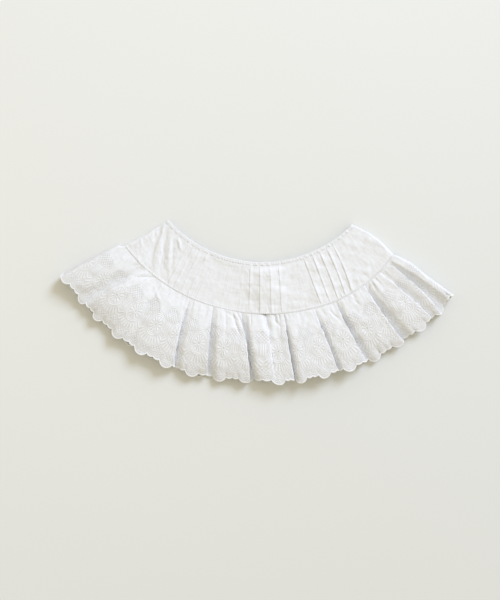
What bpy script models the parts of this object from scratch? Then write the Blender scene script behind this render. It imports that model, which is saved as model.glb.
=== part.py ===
"""A detachable cotton collar: a pin-tucked yoke with a gathered, scalloped ruffle, laid flat.

The ring is folded at both sides, so that its back lies hidden under its front. Each wall is one
loft along the collar: the left half of the back, the left fold, the front, the right fold and the
right half of the back. Sizes are in millimetres. Angles are in degrees about the centre of the
neck curve, measured from straight down and positive towards +X.
"""

import math

import bpy
import numpy as np

MM = 0.001

# Centre of the neck curve, and the rings measured from it.
CENTRE_X = 2.98
CENTRE_Y = 151.7
NECK_RADIUS = 115.2
BINDING_WIDTH = 3.2
SEAM_GAP = 0.3

# Line of the seam: angle, radius.
SEAM = (
    (-50.0, 160.8),
    (-43.0, 161.4),
    (-30.0, 161.8),
    (-10.0, 162.0),
    (0.0, 162.6),
    (14.0, 163.9),
    (24.0, 165.6),
    (30.0, 165.2),
    (42.0, 164.2),
    (48.0, 162.2),
)

# Walls.
CLOTH = 1.0
BINDING = 1.6

# Outer edge of each side fold: radius, angle.
LEFT_FOLD = (
    (115.5, -48.6),
    (138.0, -49.8),
    (162.8, -51.8),
    (166.5, -53.1),
    (188.6, -54.2),
    (202.4, -54.8),
    (229.0, -55.5),
)
RIGHT_FOLD = (
    (115.5, 45.9),
    (131.6, 48.0),
    (142.6, 48.6),
    (162.8, 48.1),
    (166.0, 48.6),
    (179.4, 49.7),
    (196.0, 49.7),
    (210.7, 50.05),
    (229.0, 50.4),
)
# Nominal ends and middle of the front, and how strongly its stations keep to their angles.
FRONT_LEFT = -50.0
FRONT_RIGHT = 47.0
FRONT_MIDDLE = -1.5
FOLD_REACH = 4.0
TURN_STEPS = 5
BESIDE_FOLD = 1.5

# Centre back opening.
BACK_MIDDLE = -1.0
OPENING = 1.2

# Heights of the middle of the cloth over the surface below.
NECK_HEIGHT = 4.75
SEAM_HEIGHT = 5.6
LEFT_LIFT = 1.6
LEFT_LIFT_ANGLES = (-36.0, -52.0)
RIGHT_LIFT = 1.2
RIGHT_LIFT_ANGLES = (36.0, 48.0)
BACK_LIFT = 1.9
BACK_LIFT_ANGLES = (12.0, 6.0)
BACK_LIFT_SHARES = (0.7, 0.2)

# Pin tucks: angle of the fold edge at the neck, and at the seam.
TUCKS = (
    (-34.8, -32.4),
    (-32.2, -30.2),
    (-28.9, -27.7),
    (-25.2, -25.2),
    (-21.9, -22.3),
    (-8.6, -7.6),
    (-5.1, -4.2),
    (-1.0, -0.7),
    (3.4, 3.0),
    (7.2, 6.3),
    (18.9, 19.4),
    (22.9, 22.1),
    (26.5, 25.0),
    (30.2, 27.6),
    (33.4, 29.9),
)
# Section across a tuck: angle from its fold edge, share of its height.
TUCK_SECTION = ((-0.16, 0.0), (0.04, 1.0), (0.62, 0.7), (0.95, 0.0))
TUCK_HEIGHT = 0.75
YOKE_ROWS = (0.0, 0.3, 0.62, 0.94, 0.955, 1.0)
LAP_START = 0.95
LAP_HEIGHT = 0.55
LEFT_ANGLES = (-50.0, -48.0, -46.0, -44.0, -42.2, -40.4, -38.6, -37.0)
MIDDLE_ANGLES = (-19.0, -16.0, -13.0, -10.5, 10.0, 13.0, 16.0)
RIGHT_ANGLES = (36.5, 39.0, 41.5, 43.5, 45.5, 47.0)
YOKE_BACK_STEPS = 20
BINDING_FRONT_STEPS = 50
# Section across the binding: share of its width, share of its thickness.
BINDING_SECTION = ((0.0, 0.6), (0.08, 1.0), (0.92, 1.0), (1.0, 0.6))

# Creases that run down from the left end of the neck: angle at the neck, angle at the seam, half
# width, height.
CREASES = (
    (-50.0, -40.5, 1.5, -0.9),
    (-46.5, -34.5, 1.3, -0.8),
    (-43.6, -31.5, 1.1, 0.6),
    (-40.5, -33.0, 1.8, -0.5),
)

# Troughs between the waves of the ruffle: angle at the seam, angle at the hem, half width to the
# left, half width to the right, depth as a share of the wave.
TROUGHS = (
    (-43.9, -46.0, 1.9, 1.5, 0.97),
    (-33.0, -31.8, 2.4, 1.7, 0.55),
    (-24.0, -20.8, 2.4, 1.8, 0.70),
    (-15.8, -13.3, 2.2, 1.5, 0.95),
    (-5.2, -2.3, 2.9, 1.7, 1.00),
    (7.6, 7.5, 2.3, 1.5, 1.00),
    (16.8, 17.8, 2.2, 1.8, 0.60),
    (24.95, 24.6, 2.1, 1.5, 0.95),
    (35.8, 35.4, 2.8, 1.8, 1.00),
    (45.4, 45.8, 1.9, 1.5, 0.90),
)
# Waves of the front: angle of the crest, height over the seam.
CRESTS = (
    (-52.0, 8.0),
    (-49.0, 8.5),
    (-38.0, 7.5),
    (-27.0, 6.8),
    (-17.5, 7.4),
    (-9.0, 7.0),
    (2.5, 8.0),
    (12.5, 8.2),
    (21.0, 6.6),
    (30.0, 7.6),
    (40.5, 7.6),
    (48.0, 6.4),
)
RUFFLE_ROWS = (0.0, 0.09, 0.24, 0.46, 0.7, 0.88, 1.0)
GATHER_ANGLE = 2.3
GATHER_HEIGHT = 0.7
GATHER_FADE = 0.16
SWELL_POWER = 2.6
HEM_SINK = 0.14
TROUGH_POWER = 1.9
BACK_WAVE_ANGLE = 9.8
BACK_WAVE_HEIGHT = 3.0

# Large scallops of the front hem: angle of the tip, radius of the tip.
TIPS = (
    (-59.6, 225.0),
    (-53.6, 225.4),
    (-47.4, 226.0),
    (-41.8, 227.0),
    (-35.6, 227.3),
    (-29.0, 228.4),
    (-22.4, 229.2),
    (-16.1, 228.4),
    (-9.9, 226.4),
    (-3.8, 225.8),
    (3.8, 227.6),
    (9.2, 228.4),
    (14.5, 228.4),
    (20.6, 229.4),
    (26.8, 230.6),
    (33.4, 229.8),
    (39.5, 230.4),
    (45.3, 231.2),
    (50.6, 228.4),
    (56.0, 227.6),
)
# Steps from one large lobe's tip to the next: share of the way, depth in from the tips.
SCALLOP = (
    (0.0, 0.0),
    (0.09, 0.45),
    (0.17, 1.8),
    (0.245, 4.6),
    (0.32, 3.6),
    (0.38, 3.3),
    (0.5, 4.8),
    (0.62, 3.3),
    (0.68, 3.6),
    (0.755, 4.6),
    (0.83, 1.8),
    (0.91, 0.45),
)
BACK_REPEATS = 9
BACK_REPEAT_ANGLE = 5.9
BACK_TIP = -44.6
BACK_REACH = -1.2

# Closure at the back neck.
BUTTON_RADIUS = 4.0
BUTTON_THICKNESS = 1.5
BUTTON_EDGE = 0.3
BUTTON_RIM = 1.0
BUTTON_DISH = 0.35
BUTTON_FROM_OPENING = 5.2
BUTTON_FROM_NECK = 5.6
LOOP_THICKNESS = 0.9
LOOP_RADIUS = 4.85
LOOP_REACH = 4.0
LOOP_CLEARANCE = 0.1
LOOP_STEPS = 12


def soft_slope(value, ends):
    """0 at the first end and before it, 1 at the second and past it, and a soft slope between."""
    start, full = ends
    value = np.clip((value - start) / (full - start), 0.0, 1.0)
    return value * value * (3.0 - 2.0 * value)


def swell(share):
    """How far the ruffle has puffed up, from nothing at the seam."""
    return 1.0 - (1.0 - share) ** SWELL_POWER


def read_row(table, value):
    """The second column of a table, read between its rows at a value of the first."""
    first, second = zip(*table)
    return np.interp(value, first, second)


def seam_height(angle):
    """Middle of the front cloth at the seam, lifted towards the two folds."""
    left = LEFT_LIFT * soft_slope(angle, LEFT_LIFT_ANGLES)
    right = RIGHT_LIFT * soft_slope(angle, RIGHT_LIFT_ANGLES)
    return SEAM_HEIGHT + left + right


def back_lift(angle):
    """How far the back of the neck rides up over its button."""
    return BACK_LIFT * soft_slope(np.abs(angle - BACK_MIDDLE), BACK_LIFT_ANGLES)


def binding_front(angle, share):
    return np.full_like(angle, NECK_HEIGHT)


def binding_back(angle, share):
    return BINDING / 2 + back_lift(angle)


def yoke_front(angle, share):
    """Front of the yoke: it rises to the seam, and its creases are deepest half way down."""
    height = NECK_HEIGHT + (seam_height(angle) - NECK_HEIGHT) * share
    for at_neck, at_seam, width, depth in CREASES:
        line = at_neck + (at_seam - at_neck) * share
        fade = 4.0 * share * (1.0 - share)
        height = height + depth * fade * np.exp(-(((angle - line) / width) ** 2))
    return height


def yoke_back(angle, share):
    return CLOTH / 2 + back_lift(angle) * soft_slope(share, BACK_LIFT_SHARES)


def ruffle_front(angle, share):
    """Broad waves that puff up below the seam, between narrow troughs, with fine gathers."""
    at, height = zip(*CRESTS)
    wave = np.interp(angle, at, height)
    for at_seam, at_hem, left, right, depth in TROUGHS:
        away = angle - (at_seam + (at_hem - at_seam) * share)
        width = np.where(away < 0, left, right)
        wave = wave * (1.0 - depth * np.exp(-(np.abs(away / width) ** TROUGH_POWER)))
    wave = wave * swell(share) * (1.0 - HEM_SINK * share * share)
    phase = 2.0 * math.pi * angle / GATHER_ANGLE + np.sin(math.pi * angle / BACK_WAVE_ANGLE)
    gathers = GATHER_HEIGHT * math.exp(-share / GATHER_FADE) * np.sin(phase)
    return seam_height(angle) + wave + gathers


def ruffle_back(angle, share):
    """Lower waves, with every trough on the surface below."""
    wave = 0.5 - 0.5 * np.cos(2.0 * math.pi * (angle - BACK_MIDDLE) / BACK_WAVE_ANGLE)
    phase = 2.0 * math.pi * angle / (GATHER_ANGLE * 2.0)
    gathers = GATHER_HEIGHT * math.exp(-share / GATHER_FADE) * (1.0 + np.sin(phase))
    return CLOTH / 2 + swell(share) * BACK_WAVE_HEIGHT * wave + gathers


def front_angles(stations, start, end):
    """Angles between the folds: straight down the cloth, but following each fold near it."""
    left = np.clip((FRONT_MIDDLE - stations) / (FRONT_MIDDLE - FRONT_LEFT), 0.0, 1.0)
    right = np.clip((stations - FRONT_MIDDLE) / (FRONT_RIGHT - FRONT_MIDDLE), 0.0, 1.0)
    to_left = (start - FRONT_LEFT) * left**FOLD_REACH
    to_right = (end - FRONT_RIGHT) * right**FOLD_REACH
    return stations + to_left + to_right


def place(radius, angle, height):
    angle = np.radians(angle)
    x = CENTRE_X + radius * np.sin(angle)
    y = CENTRE_Y - radius * np.cos(angle)
    return np.stack([x, y, np.broadcast_to(height, x.shape)], axis=-1)


def fold_turn(table, side, share, ring, heights, half):
    """Where one side fold lies: its radius, and the angle at which the flat cloth starts."""
    front, back = heights
    edge = table[-1][1]
    for _ in range(2):
        radius = float(ring(np.array([edge]), share, "front")[0])
        edge = float(read_row(table, radius))
    beside = np.array([edge - side * BESIDE_FOLD])
    half_turn = float((front(beside, share) - back(beside, share))[0]) / 2
    return radius, edge - side * math.degrees((half_turn + half) / radius)


def row_of(share, fronts, back_shares, ring, heights, half):
    """One line of the cloth's middle, all the way along the collar."""
    front, back = heights
    left_radius, start = fold_turn(LEFT_FOLD, -1, share, ring, heights, half)
    right_radius, end = fold_turn(RIGHT_FOLD, 1, share, ring, heights, half)
    angles = front_angles(fronts, start, end)
    gap = math.degrees(OPENING / 2 / left_radius)
    left_back = start + (BACK_MIDDLE - gap - start) * back_shares[::-1]
    right_back = end + (BACK_MIDDLE + gap - end) * back_shares
    tops = front(angles, share)
    left_low = back(left_back, share)
    right_low = back(right_back, share)
    bend = np.radians(np.linspace(-90.0, 90.0, TURN_STEPS + 2)[1:-1])
    turns = []
    for side, radius, at, top, low in (
        (-1, left_radius, start, tops[0], left_low[-1]),
        (1, right_radius, end, tops[-1], right_low[0]),
    ):
        half_turn = (top - low) / 2
        away = at + side * np.degrees(half_turn * np.cos(bend) / radius)
        turn = place(radius, away, low + half_turn * (1.0 + np.sin(bend)))
        turns.append(turn if side < 0 else turn[::-1])
    return np.concatenate(
        [
            place(ring(left_back, share, "back"), left_back, left_low),
            turns[0],
            place(ring(angles, share, "front"), angles, tops),
            turns[1],
            place(ring(right_back, share, "back"), right_back, right_low),
        ]
    )


def out_of(middle):
    """Unit direction out of the collar at each point of the cloth's middle."""
    along = np.gradient(middle, axis=0)
    down = np.gradient(middle, axis=1)
    out = np.cross(down, along)
    return out / np.linalg.norm(out, axis=2, keepdims=True)


def binding_ring(angle, share, side):
    """Radius of a line of the binding."""
    return np.full_like(angle, NECK_RADIUS + BINDING_WIDTH * share)


def yoke_ring(angle, share, side):
    """Radius of a line of the yoke, which keeps to the seam at its lower edge."""
    inner = NECK_RADIUS + BINDING_WIDTH + SEAM_GAP
    return inner + (read_row(SEAM, angle) - SEAM_GAP - inner) * share


def ruffle_ring(angle, share, side):
    """Radius of a line of the ruffle, with the scallops on the hem."""
    inner = read_row(SEAM, angle) + SEAM_GAP
    hem = read_row(TIPS, angle)
    if side == "front":
        repeat = np.interp(angle, [tip for tip, _ in TIPS], np.arange(len(TIPS)))
    else:
        repeat = (angle - BACK_TIP) / BACK_REPEAT_ANGLE
        hem = hem + BACK_REACH
    if share == 1.0:
        hem = hem - read_row((*SCALLOP, (1.0, 0.0)), repeat % 1.0)
    return inner + (hem - inner) * share


def new_object(name, mesh, colour, roughness):
    material = bpy.data.materials.new(name)
    material.use_nodes = True
    shader = material.node_tree.nodes["Principled BSDF"]
    shader.inputs["Base Color"].default_value = (*colour, 1.0)
    shader.inputs["Roughness"].default_value = roughness
    mesh.materials.append(material)
    made = bpy.data.objects.new(name, mesh)
    COLLAR.objects.link(made)
    return made


def sheet_faces(stations, rows, first=0, turned=False):
    """Quads over a grid of points held station by station."""
    faces = []
    for i in range(stations - 1):
        for j in range(rows - 1):
            corner = first + i * rows + j
            face = (corner, corner + 1, corner + rows + 1, corner + rows)
            faces.append(face[::-1] if turned else face)
    return faces


def wall_mesh(name, outer, inner):
    """A closed wall between two grids of points, with its rims."""
    stations, rows = outer.shape[:2]
    count = stations * rows
    faces = sheet_faces(stations, rows) + sheet_faces(stations, rows, count, True)
    rim = [i * rows for i in range(stations)]
    rim += [(stations - 1) * rows + j for j in range(1, rows)]
    rim += [i * rows + rows - 1 for i in range(stations - 2, -1, -1)]
    rim += list(range(rows - 2, 0, -1))
    for here, there in zip(rim, rim[1:] + rim[:1]):
        faces.append((here, there, there + count, here + count))
    points = np.concatenate([outer.reshape(-1, 3), inner.reshape(-1, 3)]) * MM
    mesh = bpy.data.meshes.new(name)
    mesh.from_pydata(points.tolist(), [], faces)
    return mesh


def make_yoke():
    middle_tucks = [(neck + seam) / 2 for neck, seam in TUCKS]
    tuck_stations = [tuck + step for tuck in middle_tucks for step, _ in TUCK_SECTION]
    fronts = np.array(sorted([*tuck_stations, *LEFT_ANGLES, *MIDDLE_ANGLES, *RIGHT_ANGLES]))
    backs = np.linspace(0.0, 1.0, YOKE_BACK_STEPS)
    rows = [
        row_of(
            share,
            slanted(fronts, share),
            backs,
            yoke_ring,
            (yoke_front, yoke_back),
            CLOTH / 2,
        )
        for share in YOKE_ROWS
    ]
    middle = np.stack(rows, axis=1)
    out = out_of(middle)
    raised = np.zeros(middle.shape[:2])
    first = YOKE_BACK_STEPS + TURN_STEPS
    for tuck in middle_tucks:
        steps, heights = zip(*TUCK_SECTION)
        section = np.interp(fronts - tuck, steps, heights, left=0.0, right=0.0)
        raised[first : first + len(fronts)] += TUCK_HEIGHT * section[:, None]
    raised[:, 0] /= 2
    lap = np.array([LAP_HEIGHT if share > LAP_START else 0.0 for share in YOKE_ROWS])
    raised = np.maximum(raised, lap[None, :])
    raised[:YOKE_BACK_STEPS] = 0.0
    raised[-YOKE_BACK_STEPS:] = 0.0
    outer = middle + out * (CLOTH / 2 + raised)[:, :, None]
    inner = middle - out * CLOTH / 2
    new_object("yoke", wall_mesh("yoke", outer, inner), (0.86, 0.86, 0.85), 0.9)


def slanted(fronts, share):
    """The stations of the front, leaning with the tucks from the neck to the seam."""
    upright = [(LEFT_ANGLES[-4], 0.0), (RIGHT_ANGLES[0], 0.0)]
    leans = [((neck + seam) / 2, (0.5 - share) * (neck - seam)) for neck, seam in TUCKS]
    return fronts + read_row([upright[0], *leans, upright[1]], fronts)


def make_binding():
    fronts = np.linspace(FRONT_LEFT, FRONT_RIGHT, BINDING_FRONT_STEPS)
    backs = np.linspace(0.0, 1.0, YOKE_BACK_STEPS)
    rows = [
        row_of(share, fronts, backs, binding_ring, (binding_front, binding_back), BINDING / 2)
        for share, _ in BINDING_SECTION
    ]
    middle = np.stack(rows, axis=1)
    half = BINDING / 2 * np.array([thickness for _, thickness in BINDING_SECTION])[None, :, None]
    out = out_of(middle)
    mesh = wall_mesh("neck_binding", middle + out * half, middle - out * half)
    new_object("neck_binding", mesh, (0.86, 0.86, 0.85), 0.9)


def make_ruffle():
    steps = [step for step, _ in SCALLOP]
    tips = [tip for tip, _ in TIPS]
    repeats = np.array([lobe + step for lobe in range(len(tips) - 1) for step in steps])
    hem_angles = np.interp(repeats, np.arange(len(tips)), tips)
    fronts = hem_angles[(hem_angles > FRONT_LEFT) & (hem_angles < FRONT_RIGHT)]
    fronts = np.concatenate([[FRONT_LEFT], fronts, [FRONT_RIGHT]])
    backs = np.linspace(0.0, 1.0, BACK_REPEATS * 4 + 1)
    rows = [
        row_of(share, fronts, backs, ruffle_ring, (ruffle_front, ruffle_back), CLOTH / 2)
        for share in RUFFLE_ROWS
    ]
    middle = np.stack(rows, axis=1)
    mesh = bpy.data.meshes.new("ruffle")
    mesh.from_pydata((middle.reshape(-1, 3) * MM).tolist(), [], sheet_faces(*middle.shape[:2]))
    ruffle = new_object("ruffle", mesh, (0.87, 0.87, 0.86), 0.9)
    wall = ruffle.modifiers.new("cloth", "SOLIDIFY")
    wall.thickness = CLOTH * MM
    wall.offset = 0.0


def closure_centre():
    """Centre of the button on the surface below, in from the opening and the neck edge."""
    radius = NECK_RADIUS + BUTTON_FROM_NECK
    angle = BACK_MIDDLE + math.degrees(BUTTON_FROM_OPENING / radius)
    return place(radius, np.array([angle]), 0.0)[0]


def make_button():
    dished = BUTTON_THICKNESS - BUTTON_DISH
    profile = (
        (0.0, 0.0),
        (BUTTON_RADIUS - BUTTON_EDGE, 0.0),
        (BUTTON_RADIUS, BUTTON_EDGE),
        (BUTTON_RADIUS, BUTTON_THICKNESS - BUTTON_EDGE),
        (BUTTON_RADIUS - BUTTON_EDGE, BUTTON_THICKNESS),
        (BUTTON_RADIUS - BUTTON_RIM, BUTTON_THICKNESS),
        (BUTTON_RADIUS - BUTTON_RIM - BUTTON_DISH, dished),
        (0.0, dished),
    )
    centre = closure_centre()
    points = [(radius * MM, 0.0, height * MM) for radius, height in profile]
    mesh = bpy.data.meshes.new("button")
    mesh.from_pydata(points, [(i, i + 1) for i in range(len(points) - 1)], [])
    button = new_object("button", mesh, (0.8, 0.79, 0.75), 0.35)
    button.location = (centre[0] * MM, centre[1] * MM, 0.0)
    turned = button.modifiers.new("turned", "SCREW")
    turned.axis = "Z"
    turned.steps = turned.render_steps = 24
    turned.use_normal_flip = True
    turned.use_merge_vertices = True
    turned.merge_threshold = 0.00001


def make_loop():
    centre = closure_centre()
    turn = np.radians(np.linspace(90.0, -90.0, LOOP_STEPS))
    reach = -(BUTTON_FROM_OPENING + LOOP_REACH)
    path = [(reach, LOOP_RADIUS)]
    path += [(LOOP_RADIUS * math.cos(a), LOOP_RADIUS * math.sin(a)) for a in turn]
    path += [(reach, -LOOP_RADIUS)]
    curve = bpy.data.curves.new("button_loop", "CURVE")
    curve.dimensions = "3D"
    curve.bevel_depth = LOOP_THICKNESS / 2 * MM
    curve.bevel_resolution = 2
    curve.use_fill_caps = True
    spline = curve.splines.new("POLY")
    spline.points.add(len(path) - 1)
    height = LOOP_THICKNESS / 2 + LOOP_CLEARANCE
    for point, (x, y) in zip(spline.points, path):
        point.co = ((centre[0] + x) * MM, (centre[1] + y) * MM, height * MM, 1.0)
    new_object("button_loop", curve, (0.85, 0.85, 0.84), 0.8)


for startup in list(bpy.data.objects):
    bpy.data.objects.remove(startup)
COLLAR = bpy.data.collections.new("lace_collar")
bpy.context.scene.collection.children.link(COLLAR)
make_yoke()
make_binding()
make_ruffle()
make_button()
make_loop()
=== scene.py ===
"""Looks of a detachable cotton collar: a pin-tucked lawn yoke with a gathered, embroidered ruffle.

The collar lies flat, its ring folded at both sides, so that the back is hidden under the front.
Every cloth piece is laid row by row from the neck outwards. Each row runs from the centre back
opening along the hidden left half, round the left fold, over the front, round the right fold and
back to the opening. Lengths are in millimetres until a mesh is made, and angles in degrees about
the centre of the neck curve, from straight down and positive towards +X.
"""

import logging
import math
from dataclasses import dataclass
from enum import Enum

import bpy
import numpy as np
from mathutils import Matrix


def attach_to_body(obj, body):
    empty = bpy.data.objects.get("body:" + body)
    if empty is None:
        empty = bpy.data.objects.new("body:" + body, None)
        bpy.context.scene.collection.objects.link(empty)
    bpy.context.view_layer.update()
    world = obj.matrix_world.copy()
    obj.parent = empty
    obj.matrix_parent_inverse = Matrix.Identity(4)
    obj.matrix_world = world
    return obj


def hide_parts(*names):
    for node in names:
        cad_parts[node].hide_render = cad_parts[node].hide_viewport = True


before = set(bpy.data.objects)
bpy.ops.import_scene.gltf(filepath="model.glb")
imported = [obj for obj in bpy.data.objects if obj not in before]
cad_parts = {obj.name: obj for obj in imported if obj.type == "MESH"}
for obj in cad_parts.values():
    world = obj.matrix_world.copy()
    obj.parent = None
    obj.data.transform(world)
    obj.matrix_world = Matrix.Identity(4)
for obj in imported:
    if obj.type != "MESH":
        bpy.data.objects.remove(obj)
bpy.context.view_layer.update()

MM = 0.001
LOG = logging.getLogger("collar")

Table = tuple[tuple[float, ...], ...]


class Side(Enum):
    """Which layer of the folded ring a stretch of cloth belongs to."""

    FRONT = "front"
    BACK = "back"


def soft_step(value: np.ndarray, start: float, full: float) -> np.ndarray:
    """Rises softly from 0 to 1, as three times the square less twice the cube of the share passed.

    Args:
        value: where to read it.
        start: the value up to which it is 0.
        full: the value from which it is 1.

    Returns:
        The share risen, one for each value.
    """
    share = np.clip((value - start) / (full - start), 0.0, 1.0)
    return share * share * (3.0 - 2.0 * share)


def read_curve(
    at: np.ndarray, height: np.ndarray, value: np.ndarray, level_ends: bool = True
) -> np.ndarray:
    """Reads a smooth curve through points, which has no hump of its own between them.

    Between two points it is the cubic that leaves and meets them with a slope: level at a crest or
    a floor, and elsewhere the harmonic mean of the slopes to the points on both sides.

    Args:
        at: places of the points, rising.
        height: their heights.
        value: where to read.
        level_ends: whether it is level at both ends too, and not as steep as to the next point.

    Returns:
        Heights of the curve, level past both ends.
    """
    step = np.diff(at)
    slope = np.diff(height) / step
    before, after = slope[:-1], slope[1:]
    climbing = before * after > 0.0
    mean = 2.0 * before * after / np.where(climbing, before + after, 1.0)
    ends = (0.0, 0.0) if level_ends else (slope[0], slope[-1])
    slopes = np.concatenate([[ends[0]], np.where(climbing, mean, 0.0), [ends[1]]])
    i = np.clip(np.searchsorted(at, value) - 1, 0, len(step) - 1)
    t = np.clip((value - at[i]) / step[i], 0.0, 1.0)
    start = height[i] * (1.0 + 2.0 * t) * (1.0 - t) ** 2 + height[i + 1] * t * t * (3.0 - 2.0 * t)
    return start + step[i] * (slopes[i] * t * (1.0 - t) ** 2 + slopes[i + 1] * t * t * (t - 1.0))


def read_row(table: Table, value: np.ndarray, column: int = 1) -> np.ndarray:
    """Reads a column of a table between its rows.

    Args:
        table: rows sorted by their first entry.
        value: where to read, in terms of the first entry.
        column: which entry to read.

    Returns:
        The interpolated entries.
    """
    return np.interp(value, [row[0] for row in table], [row[column] for row in table])


@dataclass(frozen=True)
class Plan:
    """The collar's outlines on the plan, the same as the solids have."""

    centre: tuple[float, float] = (2.98, 151.7)
    neck_radius: float = 115.2
    binding_width: float = 3.2
    seam_gap: float = 0.3
    seam: Table = (
        (-50.0, 160.8),
        (-43.0, 161.4),
        (-30.0, 161.8),
        (-10.0, 162.0),
        (0.0, 162.6),
        (14.0, 163.9),
        (24.0, 165.6),
        (30.0, 165.2),
        (42.0, 164.2),
        (48.0, 162.2),
    )
    left_fold: Table = (
        (115.5, -48.6),
        (138.0, -49.8),
        (162.8, -51.8),
        (166.5, -53.1),
        (188.6, -54.2),
        (202.4, -54.8),
        (229.0, -55.5),
    )
    right_fold: Table = (
        (115.5, 45.9),
        (131.6, 48.0),
        (142.6, 48.6),
        (162.8, 48.1),
        (166.0, 48.6),
        (179.4, 49.7),
        (196.0, 49.7),
        (210.7, 50.05),
        (229.0, 50.4),
    )
    tips: Table = (
        (-59.8, 225.0),
        (-53.9, 225.4),
        (-47.6, 226.0),
        (-42.5, 227.0),
        (-36.3, 228.0),
        (-29.6, 228.8),
        (-23.0, 229.4),
        (-16.6, 229.2),
        (-10.0, 227.6),
        (-4.0, 225.8),
        (4.2, 227.8),
        (9.1, 228.4),
        (14.6, 228.4),
        (20.8, 229.6),
        (27.1, 230.8),
        (33.4, 229.8),
        (39.8, 230.6),
        (45.6, 231.2),
        (50.8, 228.4),
        (56.1, 227.6),
    )
    back_middle: float = -1.0
    opening: float = 1.2
    back_tip: float = -44.6
    back_repeat_angle: float = 5.9
    back_reach: float = -1.2

    def place(self, radius: np.ndarray, angle: np.ndarray, height: np.ndarray) -> np.ndarray:
        """Turns radius and angle about the neck's centre, with a height, into points.

        Args:
            radius: radii, in mm.
            angle: angles about the neck's centre, in degrees.
            height: heights over the surface, in mm.

        Returns:
            Points, in mm.
        """
        turn = np.radians(angle)
        x = self.centre[0] + radius * np.sin(turn)
        y = self.centre[1] - radius * np.cos(turn)
        return np.stack([x, y, np.broadcast_to(height, x.shape)], axis=-1)

    def seam_radius(self, angle: np.ndarray) -> np.ndarray:
        """Radius of the seam between yoke and ruffle."""
        return read_row(self.seam, angle)

    def hem_radius(self, angle: np.ndarray, side: Side) -> np.ndarray:
        """Radius that the tips of the large scallops reach."""
        reach = self.back_reach if side is Side.BACK else 0.0
        return read_row(self.tips, angle) + reach

    def phase(self, angle: np.ndarray, side: Side) -> np.ndarray:
        """Repeats of the embroidery passed, a whole number at each large scallop's tip.

        Args:
            angle: angles about the neck's centre, in degrees.
            side: which layer of the folded ring.

        Returns:
            Repeats passed, one for each angle.
        """
        if side is Side.BACK:
            return (angle - self.back_tip) / self.back_repeat_angle
        return np.interp(angle, [tip[0] for tip in self.tips], np.arange(len(self.tips)))


@dataclass(frozen=True)
class Scallops:
    """Cut of the hem: a large lobe and two small ones in each repeat of the embroidery."""

    repeat: float = 27.0
    large_share: float = 0.25
    notch: float = 4.6
    roundness: float = 2.45
    small_share: float = 0.375
    small_in: float = 3.3
    small_notch: float = 1.3
    small_half: float = 0.125

    def depth(self, phase: np.ndarray) -> np.ndarray:
        """Depth in from the line of the large tips.

        On the large lobe it is the notch's depth times a power of the share of the way to the
        notch. On a small lobe it grows with the square of the distance from that lobe's middle.

        Args:
            phase: repeats passed, a whole number at each large lobe's tip.

        Returns:
            Depths, in mm.
        """
        away = np.abs(phase - np.round(phase))
        large = self.notch * (away / self.large_share) ** self.roundness
        small = self.small_in + self.small_notch * ((away - self.small_share) / self.small_half) ** 2
        return np.where(away < self.large_share, large, small)


@dataclass(frozen=True)
class Lie:
    """Heights of the middle of the cloth over the surface below, the same as the solids have."""

    neck: float = 4.75
    seam: float = 5.6
    left_lift: float = 1.6
    left_lift_angles: tuple[float, float] = (-36.0, -52.0)
    right_lift: float = 1.2
    right_lift_angles: tuple[float, float] = (36.0, 48.0)
    back_lift: float = 1.9
    back_lift_angles: tuple[float, float] = (12.0, 6.0)
    back_lift_shares: tuple[float, float] = (0.7, 0.2)
    wall: float = 1.0
    binding_wall: float = 1.6

    def seam_height(self, angle: np.ndarray) -> np.ndarray:
        """Middle of the front cloth at the seam, lifted towards the two folds.

        Args:
            angle: angles about the neck's centre, in degrees.

        Returns:
            Heights, in mm.
        """
        left = self.left_lift * soft_step(angle, *self.left_lift_angles)
        right = self.right_lift * soft_step(angle, *self.right_lift_angles)
        return self.seam + left + right

    def lift(self, angle: np.ndarray, plan: Plan) -> np.ndarray:
        """How far the back of the neck rides up over its button."""
        return self.back_lift * soft_step(np.abs(angle - plan.back_middle), *self.back_lift_angles)


@dataclass(frozen=True)
class Crease:
    """A soft trough, or a ridge where its height is positive, along a line on the plan."""

    line: Table
    half_width: float
    height: float
    fade: float = 5.0

    def raised(self, x: np.ndarray, y: np.ndarray) -> np.ndarray:
        """Height added at each place.

        It falls off as a bell curve of the distance to the nearest stretch of the line, and fades
        out over the fade length at both ends.

        Args:
            x: places across the plan, in mm.
            y: places up the plan, in mm.

        Returns:
            Heights, in mm.
        """
        nearest = np.full(x.shape, np.inf)
        along = np.zeros(x.shape)
        passed = 0.0
        for (x0, y0), (x1, y1) in zip(self.line, self.line[1:]):
            length = math.hypot(x1 - x0, y1 - y0)
            share = ((x - x0) * (x1 - x0) + (y - y0) * (y1 - y0)) / length**2
            share = np.clip(share, 0.0, 1.0)
            away = np.hypot(x - x0 - share * (x1 - x0), y - y0 - share * (y1 - y0))
            along = np.where(away < nearest, passed + share * length, along)
            nearest = np.minimum(nearest, away)
            passed += length
        fade = min(self.fade, passed / 2.0)
        ends = soft_step(along, -fade / 2, fade) * soft_step(passed - along, -fade / 2, fade)
        return self.height * ends * np.exp(-((nearest / self.half_width) ** 2))


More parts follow.
